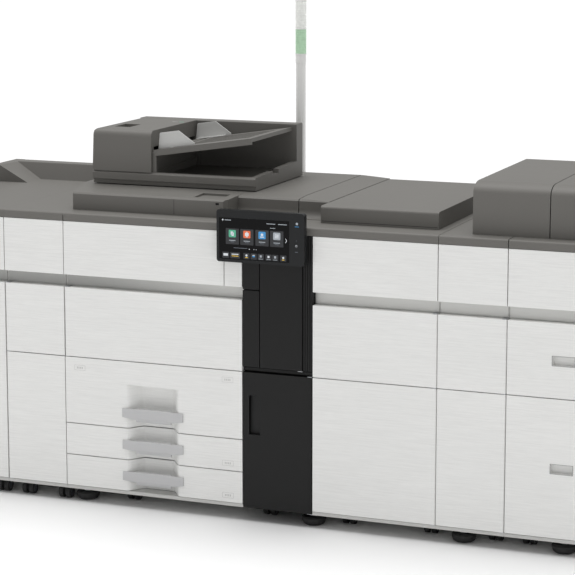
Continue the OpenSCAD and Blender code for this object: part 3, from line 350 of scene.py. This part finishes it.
def turned(name, profile, centre, axis, material, body=ROOT, sides=40):
    """A turned shape: profile is a list of (radius, distance along the axis), closed at both ends."""
    bm = bmesh.new()
    put = PLACE[axis]
    across = {"x": (centre[1], centre[2]), "y": (centre[0], centre[2]), "z": (centre[0], centre[1])}[axis]
    along = centre["xyz".index(axis)]
    rings = [[bm.verts.new(put(across[0] + r * math.cos(math.tau * i / sides),
                               across[1] + r * math.sin(math.tau * i / sides), along + d))
              for i in range(sides)] for r, d in profile]
    for a, b in zip(rings, rings[1:]):
        for i in range(sides):
            bm.faces.new((a[i], a[i - 1], b[i - 1], b[i]))
    bm.faces.new(rings[0])
    bm.faces.new(rings[-1])
    bmesh.ops.recalc_face_normals(bm, faces=bm.faces)
    mesh = bpy.data.meshes.new(name)
    bm.to_mesh(mesh)
    bm.free()
    mesh.materials.append(material)
    mesh.shade_smooth()
    obj = bpy.data.objects.new(name, mesh)
    bpy.context.scene.collection.objects.link(obj)
    sharp = obj.modifiers.new("normals", "WEIGHTED_NORMAL")
    sharp.keep_sharp = True
    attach(obj, body)
    return obj


# ---------------------------------------------------------------- control panel
def control_panel_details():
    """Status line, four cards, row of small keys and the border's symbols, on the glass."""
    low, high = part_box("touch_screen")
    shell_low, shell_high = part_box("control_panel")
    left, top = shell_low.x, shell_high.z
    face = low.y
    skin = (face - 0.00022, face + 0.0004)
    over = (face - 0.00034, face + 0.0004)

    def at(x0, x1, down0, down1, r=0.0):
        """Outline from distances in mm right of the panel's left edge and below its top."""
        return rect(left + x0 * MM, left + x1 * MM, top - down1 * MM, top - down0 * MM, r * MM)

    def dot(x, down, r, sides=20):
        return disc(left + x * MM, top - down * MM, r * MM, sides)

    def ui(name, outlines, colour, depth=skin):
        piece(name, [(o, "y", *depth) for o in outlines], UI[colour], "control_panel")

    cards = (55.5, 106.5, 159.5, 210.5)
    ui("ui_cards", [at(x - 23, x + 23, 60, 112, 2) for x in cards], "card")
    for x, colour in zip(cards, ("green", "orange", "blue", "grey")):
        ui("ui_icon_" + colour, [at(x - 12.5, x + 12.5, 65, 89, 3)], colour, over)
    top_layer = (face - 0.00046, face + 0.0004)
    glyphs = [at(50, 58, 70, 81, 1), at(53, 61, 73.5, 84.5, 1)]
    glyphs += [at(100, 113, 72, 82, 1), at(103, 110, 69, 71), at(103, 110, 83, 86)]
    glyphs += [dot(159.5, 75, 4.4), at(152.5, 166.5, 81, 84, 1.4)]
    glyphs += [at(204, 217, 71.5, 74), at(204, 217, 76, 78.5), at(204, 217, 80.5, 83)]
    ui("ui_glyphs", glyphs, "white", top_layer)
    ui("ui_card_labels", [at(x - 11, x + 11, 98, 100.4) for x in cards], "grey", over)
    ui("ui_card_sublabels", [at(x - 7, x + 7, 103.4, 105) for x in cards], "dim", over)
    arrow_points = ((239.5, 83), (241.5, 83), (246, 90), (241.5, 97), (239.5, 97), (244, 90))
    arrow = [(left + a * MM, top - b * MM) for a, b in arrow_points]
    ui("ui_next_arrow", [arrow], "white")
    ui("ui_status", [dot(22, 33, 2.6)], "white")
    ui("ui_status_dim", [at(29, 51, 32, 34.4), at(175, 205, 37, 39.2), at(215, 245, 37, 39.2),
                         at(187, 205, 51, 52.6)], "grey")
    ui("ui_page_dots", [dot(115, 125, 1.6), dot(131, 125, 1.1), dot(139, 125, 1.1)], "white")
    ui("ui_page_bar", [at(60, 108, 122.4, 124)], "dim")
    keys = (105, 130, 155, 182, 205, 233)
    ui("ui_key_plates", [at(20, 44, 138, 158, 2), at(48, 82, 138, 158, 2)]
       + [at(x - 10.5, x + 10.5, 138, 158, 2) for x in keys], "card")
    ui("ui_key_marks", [at(24, 40, 143, 151, 1), at(53, 77, 143, 146)]
       + [dot(105, 146, 3.6), at(178.5, 185.5, 142.5, 149.5, 0.8), dot(233, 146, 3.4),
          at(126, 134, 143, 145)], "white", over)
    ui("ui_key_yellow", [at(53, 77, 149.5, 151), at(101, 109, 152, 153.8), at(229, 237, 152, 153.8)],
       "yellow", over)
    ui("ui_key_blue", [at(126, 134, 146, 150, 1)], "blue", over)
    ui("ui_key_grey", [at(151.5, 158.5, 142.5, 149.5, 0.8), at(201.5, 208.5, 142.5, 149.5, 0.8)]
       + [at(x - 7, x + 7, 154, 155.4) for x in (155, 182, 205)], "grey", over)

    border = (shell_low.y - 0.0003, shell_low.y + 0.001)
    house = ((275, 32.5), (280, 28), (285, 32.5), (283.5, 32.5), (283.5, 36.5), (276.5, 36.5), (276.5, 32.5))
    roof = [(left + a * MM, top - b * MM) for a, b in house]
    piece("home_symbol", [(roof, "y", *border)], UI["grey"], "control_panel")
    piece("home_underline", [(at(273, 287, 41.5, 43), "y", *border)], UI["blue"], "control_panel")
    piece("border_marks", [(at(274, 283, 124, 125.4), "y", *border), (dot(278, 88, 1.0), "y", *border)],
          UI["dim"], "control_panel")
    key_low, key_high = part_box("power_key")
    middle = (key_low + key_high) / 2
    ring = [(disc(middle.x, middle.z, 0.0034, 28), "y", key_low.y - 0.0002, key_low.y + 0.001)]
    piece("power_symbol_ring", ring, UI["white"], "power_key")
    piece("power_symbol_centre", [(disc(middle.x, middle.z, 0.0026, 28), "y", key_low.y - 0.0003,
                                   key_low.y + 0.001)], MATERIALS["panel_black"], "power_key")
    piece("power_symbol_stroke", [(rect(middle.x - 0.0004, middle.x + 0.0004, middle.z, middle.z + 0.004),
                                   "y", key_low.y - 0.0004, key_low.y + 0.001)], UI["white"], "power_key")
    # A slim lip round the glass, and the rear cover with its cooling slots, drawn as dark patches of painted
    # shade
    piece("screen_lip", frame_prisms(low.x - 0.0016, high.x + 0.0016, low.z - 0.0016, high.z + 0.0016,
                                     0.0013, "y", shell_low.y - 0.0005, shell_low.y + 0.001),
          MATERIALS["panel_black"], "control_panel", 0.0003)
    # The slots are painted shade: dark patches on the cover, with no openings cut.
    back = shell_low.y + 0.022
    piece("panel_back_slot_shade", [(rect(left + x * MM, left + (x + 34) * MM, shell_low.z + z * MM,
                                     shell_low.z + (z + 2.4) * MM, 0.001), "y", back - 0.001, back + 0.0004)
                               for x in (24, 64, 208, 248) for z in range(20, 66, 6)], DARK_GAP,
          "control_panel")


# ---------------------------------------------------------------- fronts
def tray_details():
    """Paper-size marks on each tray's front, and the fences and their levers inside it."""
    for i in (1, 2, 3):
        body = f"tray_{i}"
        low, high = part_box(body)
        label_x = high.x - 0.072
        label_z = high.z - (0.022 if i == 1 else 0.074)
        places = [(label_x, label_z)] + ([(low.x + 0.034, high.z - 0.026)] if i == 1 else [])
        plates, marks = [], []
        for x, z in places:
            plates += frame_prisms(x, x + 0.040, z - 0.018, z, 0.0009, "y", low.y - 0.0003, low.y + 0.001)
            marks += [(rect(x + 0.009 + k * 0.006, x + 0.0125 + k * 0.006, z - 0.0125, z - 0.0055), "y",
                       low.y - 0.0002, low.y + 0.001) for k in range(4)]
        piece(body + "_size_label", plates, PRINT_LIGHT, body)
        piece(body + "_size_marks", marks, PRINT_LIGHT, body)
        # Side fences and the rear stop that hold the paper, with their green thumb levers
        floor_z = low.z + 0.0065
        fence_top = floor_z + (0.150 if i == 1 else 0.055)
        y0, y1 = low.y + 0.085, low.y + 0.38
        fences = [(rect(y0, y1, floor_z, fence_top, 0.004), "x", x, x + 0.003)
                  for x in (low.x + 0.11, high.x - 0.113)]
        ribs = [(rect(x, x + 0.012, floor_z, fence_top - 0.012), "y", y, y + 0.002)
                for x in (low.x + 0.098, high.x - 0.110) for y in (y0 + 0.03, y0 + 0.14, y0 + 0.25)]
        stop = [(rect(low.x + 0.26, low.x + 0.39, floor_z, fence_top - 0.01, 0.004), "y", y1 + 0.06,
                 y1 + 0.064)]
        piece(body + "_fences", fences + ribs + stop, MATERIALS["guide_grey"], body, 0.0006)
        piece(body + "_fence_levers", [(rect(x, x + 0.022, floor_z + 0.002, floor_z + 0.020, 0.003),
                                        "y", y0 + 0.05, y0 + 0.075) for x in (low.x + 0.086,
                                                                              high.x - 0.108)], GREEN_KNOB,
              body, 0.001)


def drawer_details():
    """Rim round each drawer pull, and the lift plate inside."""
    for name in ("feeder_3_upper_drawer", "feeder_3_lower_drawer"):
        low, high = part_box(name)
        x, z = (low.x + high.x) / 2, (low.z + high.z) / 2
        piece(name + "_pull_rim", frame_prisms(x - 0.0375, x + 0.0375, z - 0.0165, z + 0.0165, 0.0022,
                                               "y", low.y - 0.0006, low.y + 0.002), PRINT_GREY, name,
              0.0004)
        plate_z = low.z + 0.045
        piece(name + "_lift_plate", [(rect(low.x + 0.034, high.x - 0.034, low.y + 0.04, low.y + 0.585,
                                           0.01), "z", plate_z, plate_z + 0.003)], MATERIALS["steel"], name,
              0.0006)


def door_details():
    """Catches on the backs of the doors, and the liner of the black door's grip."""
    catch_right = ("finisher_front_door", "relay_upper_door", "relay_lower_door", "engine_front_door")
    catch_left = ("toner_door", "column_lower_door", "feeder_1_upper_door", "feeder_1_lower_door",
                  "feeder_2_upper_door", "feeder_2_lower_door")
    for name in catch_right + catch_left:
        low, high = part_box(name)
        x = high.x - 0.012 if name in catch_right else low.x + 0.012
        rows = [low.z + (high.z - low.z) * k for k in (0.2, 0.8)]
        piece(name + "_magnets", [(rect(x - 0.005, x + 0.005, z - 0.014, z + 0.014, 0.002),
                                   "y", high.y - 0.001, high.y + 0.00035) for z in rows],
              MATERIALS["steel"], name)
        inner = (low.x + 0.022, high.x - 0.022, low.z + 0.022, high.z - 0.022)
        piece(name + "_back_panel", [(rect(*inner, 0.012), "y", high.y - 0.002, high.y + 0.0003)],
              PRINT_LIGHT if "column" not in name and "toner" not in name else MATERIALS["panel_black"],
              name)
    low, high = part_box("column_lower_door")
    x0, x1 = low.x + 0.0215, low.x + 0.0605
    z0, z1 = high.z - 0.2085, high.z - 0.0765
    piece("column_grip_rim", frame_prisms(x0 - 0.002, x1 + 0.002, z0 - 0.002, z1 + 0.002, 0.002,
                                          "y", low.y - 0.0004, low.y + 0.003), MATERIALS["panel_black"],
          "column_lower_door", 0.0005)
    piece("column_grip_back", [(rect(x0 + 0.001, x1 - 0.001, z0 + 0.001, z1 - 0.001, 0.003),
                                "y", low.y + 0.0165, low.y + 0.019)], DARK_GAP, "column_lower_door")


# ---------------------------------------------------------------- tops
def scanner_details():
    """Lamp and seam of the shelf, scales beside the glass, the feeder's pad and the scan lamp."""
    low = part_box("scanner_housing")[0]
    column_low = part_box("column_frame")[0]
    shelf_low = Vector((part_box("engine_casing")[0].x, low.y, low.z))
    x, z = column_low.x - 0.122, low.z + 0.046
    piece("shelf_lamp", [(rect(x - 0.0065, x + 0.0065, z - 0.0035, z + 0.0035, 0.0034),
                          "y", shelf_low.y - 0.0005, shelf_low.y + 0.001)], MATERIALS["screen_glass"], ROOT,
          0.0003)
    x = column_low.x - 0.279
    piece("shelf_seam", [(rect(x - 0.0007, x + 0.0007, low.z + 0.003, low.z + 0.053),
                          "y", shelf_low.y - 0.0002, shelf_low.y + 0.001)], DARK_GAP, ROOT)
    # Scales along the glass, and the pale pad that backs the original, under the document feeder
    glass_low, glass_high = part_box("platen_glass")
    top = glass_high.z
    ticks = [(rect(glass_low.x - 0.010, glass_low.x - (0.003 if k % 5 else 0.001), glass_low.y + k * 0.01,
                   glass_low.y + k * 0.01 + 0.0006), "z", top - 0.0004, top + 0.0004) for k in range(1, 33)]
    ticks += [(rect(glass_low.x + k * 0.01, glass_low.x + k * 0.01 + 0.0006, glass_high.y + 0.002,
                    glass_high.y + (0.008 if k % 5 else 0.010)), "z", top - 0.0004, top + 0.0004)
              for k in range(1, 47)]
    piece("glass_scales", ticks, PRINT_LIGHT, ROOT)
    pad_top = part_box("adf_body")[0].z + 0.0005
    piece("platen_pad", [(rect(glass_low.x + 0.004, glass_high.x - 0.004, glass_low.y + 0.004,
                               glass_high.y - 0.004, 0.008), "z", top + 0.0008, pad_top)], PRINT_LIGHT,
          "document_feeder", 0.0008)
    carriage_low, carriage_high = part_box("scan_carriage")
    piece("carriage_lamp", [(rect(carriage_low.x + 0.014, carriage_low.x + 0.034, carriage_low.y + 0.014,
                                  carriage_high.y - 0.014, 0.003), "z", carriage_high.z - 0.001,
                             carriage_high.z + 0.0016)], UI["white"], "scan_carriage", 0.0005)


def feeder_details():
    """Ribs and size marks of the document tray, lamp and arrow of the feed cover, tyres of the roller."""
    low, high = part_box("adf_feed_cover")
    body_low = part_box("adf_body")[0]
    tray_low, tray_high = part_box("document_tray")
    # Ribs, and marks for the paper sizes beside the guide groove, in the tray's own slope
    pivot = Vector((high.x + 0.010, 0, body_low.z + 0.044 + 0.066))
    lift = 0.013

    def on_slope(a, d):
        """A point at distance a along the tray and d above its plane."""
        cos, sin = math.cos(SLOPE_TRAY), math.sin(SLOPE_TRAY)
        return (pivot.x + a * cos - d * sin, pivot.z + a * sin + d * cos)

    y_mid = (tray_low.y + tray_high.y) / 2
    rib = ((0.090, lift - 0.001), (0.330, lift - 0.001), (0.330, lift + 0.0008),
           (0.324, lift + 0.0014), (0.096, lift + 0.0014), (0.090, lift + 0.0008))
    ribs = []
    for k in range(-3, 4):
        y = y_mid + k * 0.038
        ribs.append(([on_slope(a, d) for a, d in rib], "y", y - 0.002, y + 0.002))
    piece("tray_ribs", ribs, MATERIALS["deck_grey"], "document_tray", 0.0004)
    marks = []
    mark = ((0.070, lift - 0.0005), (0.080, lift - 0.0005), (0.080, lift + 0.0003), (0.070, lift + 0.0003))
    for y in (-0.150, -0.131, -0.112, 0.112, 0.131, 0.150):
        outline = [on_slope(a, d) for a, d in mark]
        marks.append((outline, "y", y_mid + y - 0.0006, y_mid + y + 0.0006))
    piece("tray_size_marks", marks, PRINT_LIGHT, "document_tray")
    # Lamp and arrow on the feed cover's top, at the slot
    y = low.y + 0.30
    piece("feed_lamp", [(rect(high.x - 0.030, high.x - 0.012, y, y + 0.006, 0.0025), "z", high.z - 0.001,
                         high.z + 0.0004)], UI["green"], "adf_feed_cover", 0.0002)
    arrow = [(high.x - 0.060, y + 0.003), (high.x - 0.048, y - 0.005), (high.x - 0.048, y + 0.0005),
             (high.x - 0.036, y + 0.0005), (high.x - 0.036, y + 0.0055), (high.x - 0.048, y + 0.0055),
             (high.x - 0.048, y + 0.011)]
    piece("feed_arrow", [(arrow, "z", high.z - 0.001, high.z + 0.0002)], PRINT_GREY, "adf_feed_cover")
    roller_low, roller_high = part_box("adf_feed_roller")
    middle = (roller_low + roller_high) / 2
    for k, y in enumerate((-0.045, 0.0, 0.045)):
        turned(f"feed_tyre_{k + 1}", [(0.0183, -0.011), (0.0195, -0.009), (0.0195, 0.009), (0.0183, 0.011)],
               (middle.x, middle.y + y, middle.z), "y", MATERIALS["rubber_black"], "adf_feed_roller")


def top_details():
    """Lines and small fittings on the decks, lids and the box."""
    low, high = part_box("feeder_1_lid")
    piece("lid_line", [(rect(low.x + 0.004, high.x - 0.004, low.z + 0.006, low.z + 0.0074),
                        "y", low.y - 0.0001, low.y + 0.0008)], DARK_GAP, "feeder_1_lid")
    box_low, box_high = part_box("bypass_lid")
    pull_x, pull_y = box_high.x - 0.139, box_low.y + 0.122
    piece("bypass_pull_rim", frame_prisms(pull_x - 0.051, pull_x + 0.051, pull_y - 0.019, pull_y + 0.019,
                                          0.0016, "z", box_high.z - 0.001, box_high.z + 0.0004),
          MATERIALS["deck_grey"], "bypass_lid", 0.0003)
    plugs = []
    for name in FEEDERS:
        low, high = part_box(name)
        outline = rect(low.x + 0.020, low.x + 0.032, high.y - 0.030, high.y - 0.018, 0.003)
        plugs.append((outline, "z", DECK - 0.0010, DECK + 0.0004))
    piece("deck_plugs", plugs, MATERIALS["deck_grey"], ROOT, 0.0002)


# ---------------------------------------------------------------- signal light
def signal_details():
    """Cap, rings and bracket bolts of the signal light."""
    low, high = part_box("signal_lens_clear")
    green_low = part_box("signal_lens_green")[0]
    centre = (low + high) / 2
    ring_r = (high.x - low.x) / 2
    turned("signal_cap", [(ring_r - 0.0005, -0.006), (ring_r + 0.0006, -0.0045), (ring_r + 0.0006, -0.001),
                          (ring_r - 0.002, 0.0), (0.002, 0.0)], (centre.x, centre.y, high.z),
           "z", MATERIALS["pole_white"], ROOT)
    for name, z in (("signal_ring_1", green_low.z), ("signal_ring_2", low.z)):
        turned(name, [(ring_r - 0.001, -0.003), (ring_r + 0.0005, -0.0022), (ring_r + 0.0005, 0.0022),
                      (ring_r - 0.001, 0.003)], (centre.x, centre.y, z), "z", MATERIALS["pole_white"], ROOT)
    # Clamp bolts of the two brackets
    pole_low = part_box("signal_pole")[0]
    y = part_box("engine_casing")[1].y
    for k, z in enumerate((pole_low.z + 0.022, pole_low.z + 0.122)):
        piece(f"signal_bracket_bolts_{k + 1}", [(disc(centre.x + side * 0.025, z, 0.0034, 6), "y", y + 0.02,
                                                 y + 0.0388) for side in (-1, 1)], MATERIALS["steel"], ROOT,
              0.0006)


# ---------------------------------------------------------------- feet and casters
def foot_details():
    """A lock nut and a washer on every levelling foot, and a hub cap on every wheel."""
    xs = sorted({round(x, 4) for x in clusters("levelling_feet", 0)})
    ys = sorted({round(y, 4) for y in clusters("levelling_feet", 1)})
    nuts = [(disc(x, y, 0.0165, 6, 0.3), "z", 0.0292, 0.0372) for x in xs for y in ys]
    piece("foot_lock_nuts", nuts, MATERIALS["steel"], ROOT, 0.0012)
    washers = [(disc(x, y, 0.0185, 28), "z", 0.0380, 0.0396) for x in xs for y in ys]
    piece("foot_washers", washers, MATERIALS["steel"], ROOT, 0.0004)
    for name in ("relay_caster_wheels", "front_caster_wheels", "rear_caster_wheels"):
        low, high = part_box(name)
        y, z, r = (low.y + high.y) / 2, (low.z + high.z) / 2, (high.z - low.z) / 2
        prisms = []
        for x in wheel_faces(name):
            prisms.append((disc(y, z, r * 0.62, 32), "x", x - 0.0006, x + 0.0006))
            for k in range(5):
                a = math.tau * k / 5
                prisms.append((disc(y + r * 0.42 * math.cos(a), z + r * 0.42 * math.sin(a), r * 0.11, 12),
                               "x", x - 0.0012, x + 0.0012))
        piece(name.replace("wheels", "hubs"), prisms, MATERIALS["toner_plastic"], name,
              0.0003)


def clusters(node, axis, gap=0.03):
    """Centres along one axis of the separate solids of a node."""
    values = sorted({round(v.co[axis], 5) for v in frame["nodes"][node].data.vertices})
    groups, start, last = [], values[0], values[0]
    for v in values[1:] + [values[-1] + 1]:
        if v - last > gap:
            groups.append((start + last) / 2)
            start = v
        last = v
    return groups


def wheel_faces(node):
    """The outer faces, along x, of every wheel of a node."""
    values = sorted({round(v.co[0], 5) for v in frame["nodes"][node].data.vertices})
    return [v for i, v in enumerate(values) if i % 4 in (0, 3)]


# ---------------------------------------------------------------- rear, sides and inside
def louvre(x0, x1, z0, z1, y, pitch=0.009):
    """Slats of an air grille on the rear face."""
    slats = []
    z = z0 + pitch
    while z < z1 - pitch:
        slats.append(([(y - 0.0004, z), (y + 0.0032, z - 0.0035), (y + 0.0032, z - 0.0022),
                       (y - 0.0004, z + 0.0020)], "x", x0 + 0.004, x1 - 0.004))
        z += pitch
    return slats


def rear_details():
    """Covers, screws and air grilles on the rear, with painted shade in the screw recesses and behind the
    grille slats, and the sockets beside the mains inlet.
    """
    grilles, grille_shade, slats, screws, cross_shade, covers = [], [], [], [], [], []
    for name in MODULES:
        low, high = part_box(name)
        x0, x1, y = max(low.x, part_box("finisher_front_door")[0].x) + 0.008, high.x - 0.008, high.y
        for a, b in REAR_COVERS:
            covers.append((rect(x0, x1, a, b, 0.006), "y", y - 0.001, y + 0.0012))
            for x in (x0 + 0.012, x1 - 0.012):
                for z in (a + 0.014, (a + b) / 2, b - 0.014):
                    screws.append((disc(x, z, SCREW_R, 16), "y", y, y + 0.0028))
                    # Dark crosses on the screw heads: painted shade of the cross recesses.
                    cross_shade.append((rect(x - 0.0026, x + 0.0026, z - 0.0005, z + 0.0005), "y", y, y + 0.0030))
                    cross_shade.append((rect(x - 0.0005, x + 0.0005, z - 0.0026, z + 0.0026), "y", y, y + 0.0030))
        if x1 - x0 > 0.3 and name != "finisher_casing":
            for a, b in ((0.14, 0.24), (0.80, 0.92)):
                gx0, gx1 = x0 + 0.06, x0 + 0.26
                # A dark plate behind each grille: painted shade of the openings.
                grille_shade.append((rect(gx0, gx1, a, b, 0.006), "y", y, y + 0.0015))
                grilles += frame_prisms(gx0, gx1, a, b, 0.005, "y", y, y + 0.0042)
                slats += louvre(gx0, gx1, a, b, y + 0.001)
    piece("rear_covers", covers, MATERIALS["frame_grey"], ROOT, 0.0006)
    piece("rear_screws", screws, MATERIALS["steel"], ROOT, 0.0007)
    piece("rear_screw_slot_shade", cross_shade, DARK_GAP, ROOT)
    piece("rear_grille_shade", grille_shade, DARK_GAP, ROOT)
    piece("rear_grille_frames", grilles, MATERIALS["frame_grey"], ROOT, 0.0008)
    piece("rear_grille_slats", slats, MATERIALS["frame_grey"], ROOT)
    # Sockets for data leads beside the mains inlet
    low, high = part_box("power_inlet")
    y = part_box("engine_casing")[1].y
    x = low.x - 0.16
    piece("data_plate", [(rect(x, x + 0.12, low.z, low.z + 0.075, 0.004), "y", y, y + 0.003)],
          MATERIALS["steel"], ROOT, 0.0006)
    piece("data_sockets", [(rect(x + 0.012 + k * 0.027, x + 0.030 + k * 0.027, low.z + z, low.z + z + h,
                                 0.001), "y", y + 0.002, y + 0.0038) for k in range(4)
                           for z, h in ((0.014, 0.014), (0.045, 0.009))], DARK_GAP, ROOT,
          0.0003)
    piece("inlet_pins", [(rect(c - 0.001, c + 0.001, low.z + 0.018, low.z + 0.028), "y", y + 0.003,
                          y + 0.013) for c in [(low.x + high.x) / 2 + d for d in (-0.009, 0.0, 0.009)]],
          MATERIALS["steel"], ROOT, 0.0003)


def side_details():
    """Service cover on the last feeder's side, and the finisher's exit rollers."""
    low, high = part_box("feeder_3_casing")
    x = high.x
    y0, y1 = low.y + 0.02, high.y - 0.012
    piece("side_covers", [(rect(y0, y1, a, b, 0.006), "x", x - 0.001, x + 0.001) for a, b in SIDE_COVERS],
          MATERIALS["frame_grey"], ROOT, 0.0005)
    piece("side_screws", [(disc(y, z, SCREW_R, 16), "x", x, x + 0.0022) for y in (y0 + 0.014, y1 - 0.014)
                          for z in (0.082, 0.29, 0.50, 0.54, 0.74, 0.946)], MATERIALS["steel"], ROOT,
          0.0006)
    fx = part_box("finisher_front_door")[0].x
    tray_low, tray_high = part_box("stacker_tray")
    for k in range(4):
        y = tray_low.y + 0.075 + k * 0.08
        turned(f"exit_roller_{k + 1}", [(0.002, -0.014), (0.0075, -0.013), (0.0085, -0.010),
                                        (0.0085, 0.010), (0.0075, 0.013), (0.002, 0.014)],
               (fx + 0.013, y, 0.842), "y", MATERIALS["rubber_black"], ROOT)
    piece("exit_roller_shaft", [(disc(fx + 0.013, 0.842, 0.0022, 16), "y", tray_low.y + 0.012,
                                 tray_high.y - 0.012)], MATERIALS["steel"], ROOT)
    # Ribs along the stacker tray, in its own slope
    slope = math.tan(SLOPE_STACKER)
    hook_x, hook_z = fx - 0.024, 0.7
    a, b = fx - 0.035, tray_low.x + 0.02
    za, zb = hook_z + (hook_x - a) * slope, hook_z + (hook_x - b) * slope
    ribs = []
    for k in range(7):
        y = tray_low.y + 0.045 + k * 0.05
        ribs.append(([(a, za - 0.001), (a, za + 0.0018), (b, zb + 0.0018), (b, zb - 0.001)], "y", y - 0.002,
                     y + 0.002))
    piece("stacker_ribs", ribs, MATERIALS["deck_grey"], "stacker_tray", 0.0005)


def inside_details():
    """Knobs and levers that show once the engine's door is open."""
    knobs = {"fuser_upper_roller": 0.021, "fuser_lower_roller": 0.016, "photoconductor_drum": 0.030}
    for node, r in knobs.items():
        low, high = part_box(node)
        middle = (low + high) / 2
        turns = [math.tau * i / 60 for i in range(60)]
        reach = [r + 0.002 * math.cos(6 * a) for a in turns]
        lobes = [(middle.x + k * math.cos(a), middle.z + k * math.sin(a)) for a, k in zip(turns, reach)]
        piece(node + "_knob", [(lobes, "y", low.y - 0.014, low.y + 0.002)], GREEN_KNOB, node,
              0.0016)
    low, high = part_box("engine_front_door")
    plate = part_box("fuser_upper_roller")[0].y + 0.005
    piece("engine_inner_labels", [(rect(low.x + 0.04 + k * 0.14, low.x + 0.09 + k * 0.14, high.z - 0.045,
                                        high.z - 0.022, 0.003), "y", plate - 0.0006, plate + 0.001)
                                  for k in range(4)], PRINT_GREY, ROOT)
    lever_x, lever_z = low.x + 0.25, low.z + 0.10
    piece("engine_lever", [(rect(lever_x, lever_x + 0.018, lever_z, lever_z + 0.085, 0.008),
                            "y", plate - 0.014, plate - 0.004)]
          + [(disc(lever_x + 0.009, lever_z + 0.01, 0.008, 24), "y", plate - 0.016, plate + 0.001)],
          GREEN_KNOB, ROOT, 0.0015)


control_panel_details()
tray_details()
drawer_details()
door_details()
scanner_details()
feeder_details()
top_details()
signal_details()
foot_details()
rear_details()
side_details()
inside_details()


# ---------------------------------------------------------------- floor, light and camera
def studio():
    mesh = bpy.data.meshes.new("floor")
    size = 60
    mesh.from_pydata([(-size, -size, 0), (size, -size, 0), (size, size, 0), (-size, size, 0)], [],
                     [(0, 1, 2, 3)])
    floor = bpy.data.objects.new("floor", mesh)
    bpy.context.scene.collection.objects.link(floor)
    paint = Surface("floor_paint", srgb(240, 240, 240), 0.9)
    paint.tint(paint.noise((0.4, 0.4, 0.4), 3), 0.99, 1.0)
    mesh.materials.append(paint.mat)

    world = bpy.data.worlds.new("studio")
    world.use_nodes = True
    world.node_tree.nodes["Background"].inputs["Color"].default_value = (1, 1, 1, 1)
    world.node_tree.nodes["Background"].inputs["Strength"].default_value = 0.45
    bpy.context.scene.world = world

    def sun(name, strength, spread, aim):
        data = bpy.data.lights.new(name, "SUN")
        data.energy, data.angle = strength, math.radians(spread)
        lamp = bpy.data.objects.new(name, data)
        lamp.rotation_euler = Vector(aim).to_track_quat("-Z", "Y").to_euler()
        bpy.context.scene.collection.objects.link(lamp)

    sun("key_light", 2.55, 60, (0.1, -0.08, -1.0))

    data = bpy.data.cameras.new("camera")
    data.sensor_width = 36
    data.lens = 132.98
    data.shift_x, data.shift_y = 0.0007, -0.1
    data.clip_end = 200
    camera = bpy.data.objects.new("camera", data)
    yaw, pitch = 0.37338, -0.1577
    camera.location = (2.80801, -6.71044, 2.0625)
    camera.rotation_euler = (math.pi / 2 + pitch, 0, yaw)
    bpy.context.scene.collection.objects.link(camera)
    bpy.context.scene.camera = camera
    bpy.context.scene.view_settings.view_transform = "Standard"
    bpy.context.scene.view_settings.look = "None"


studio()
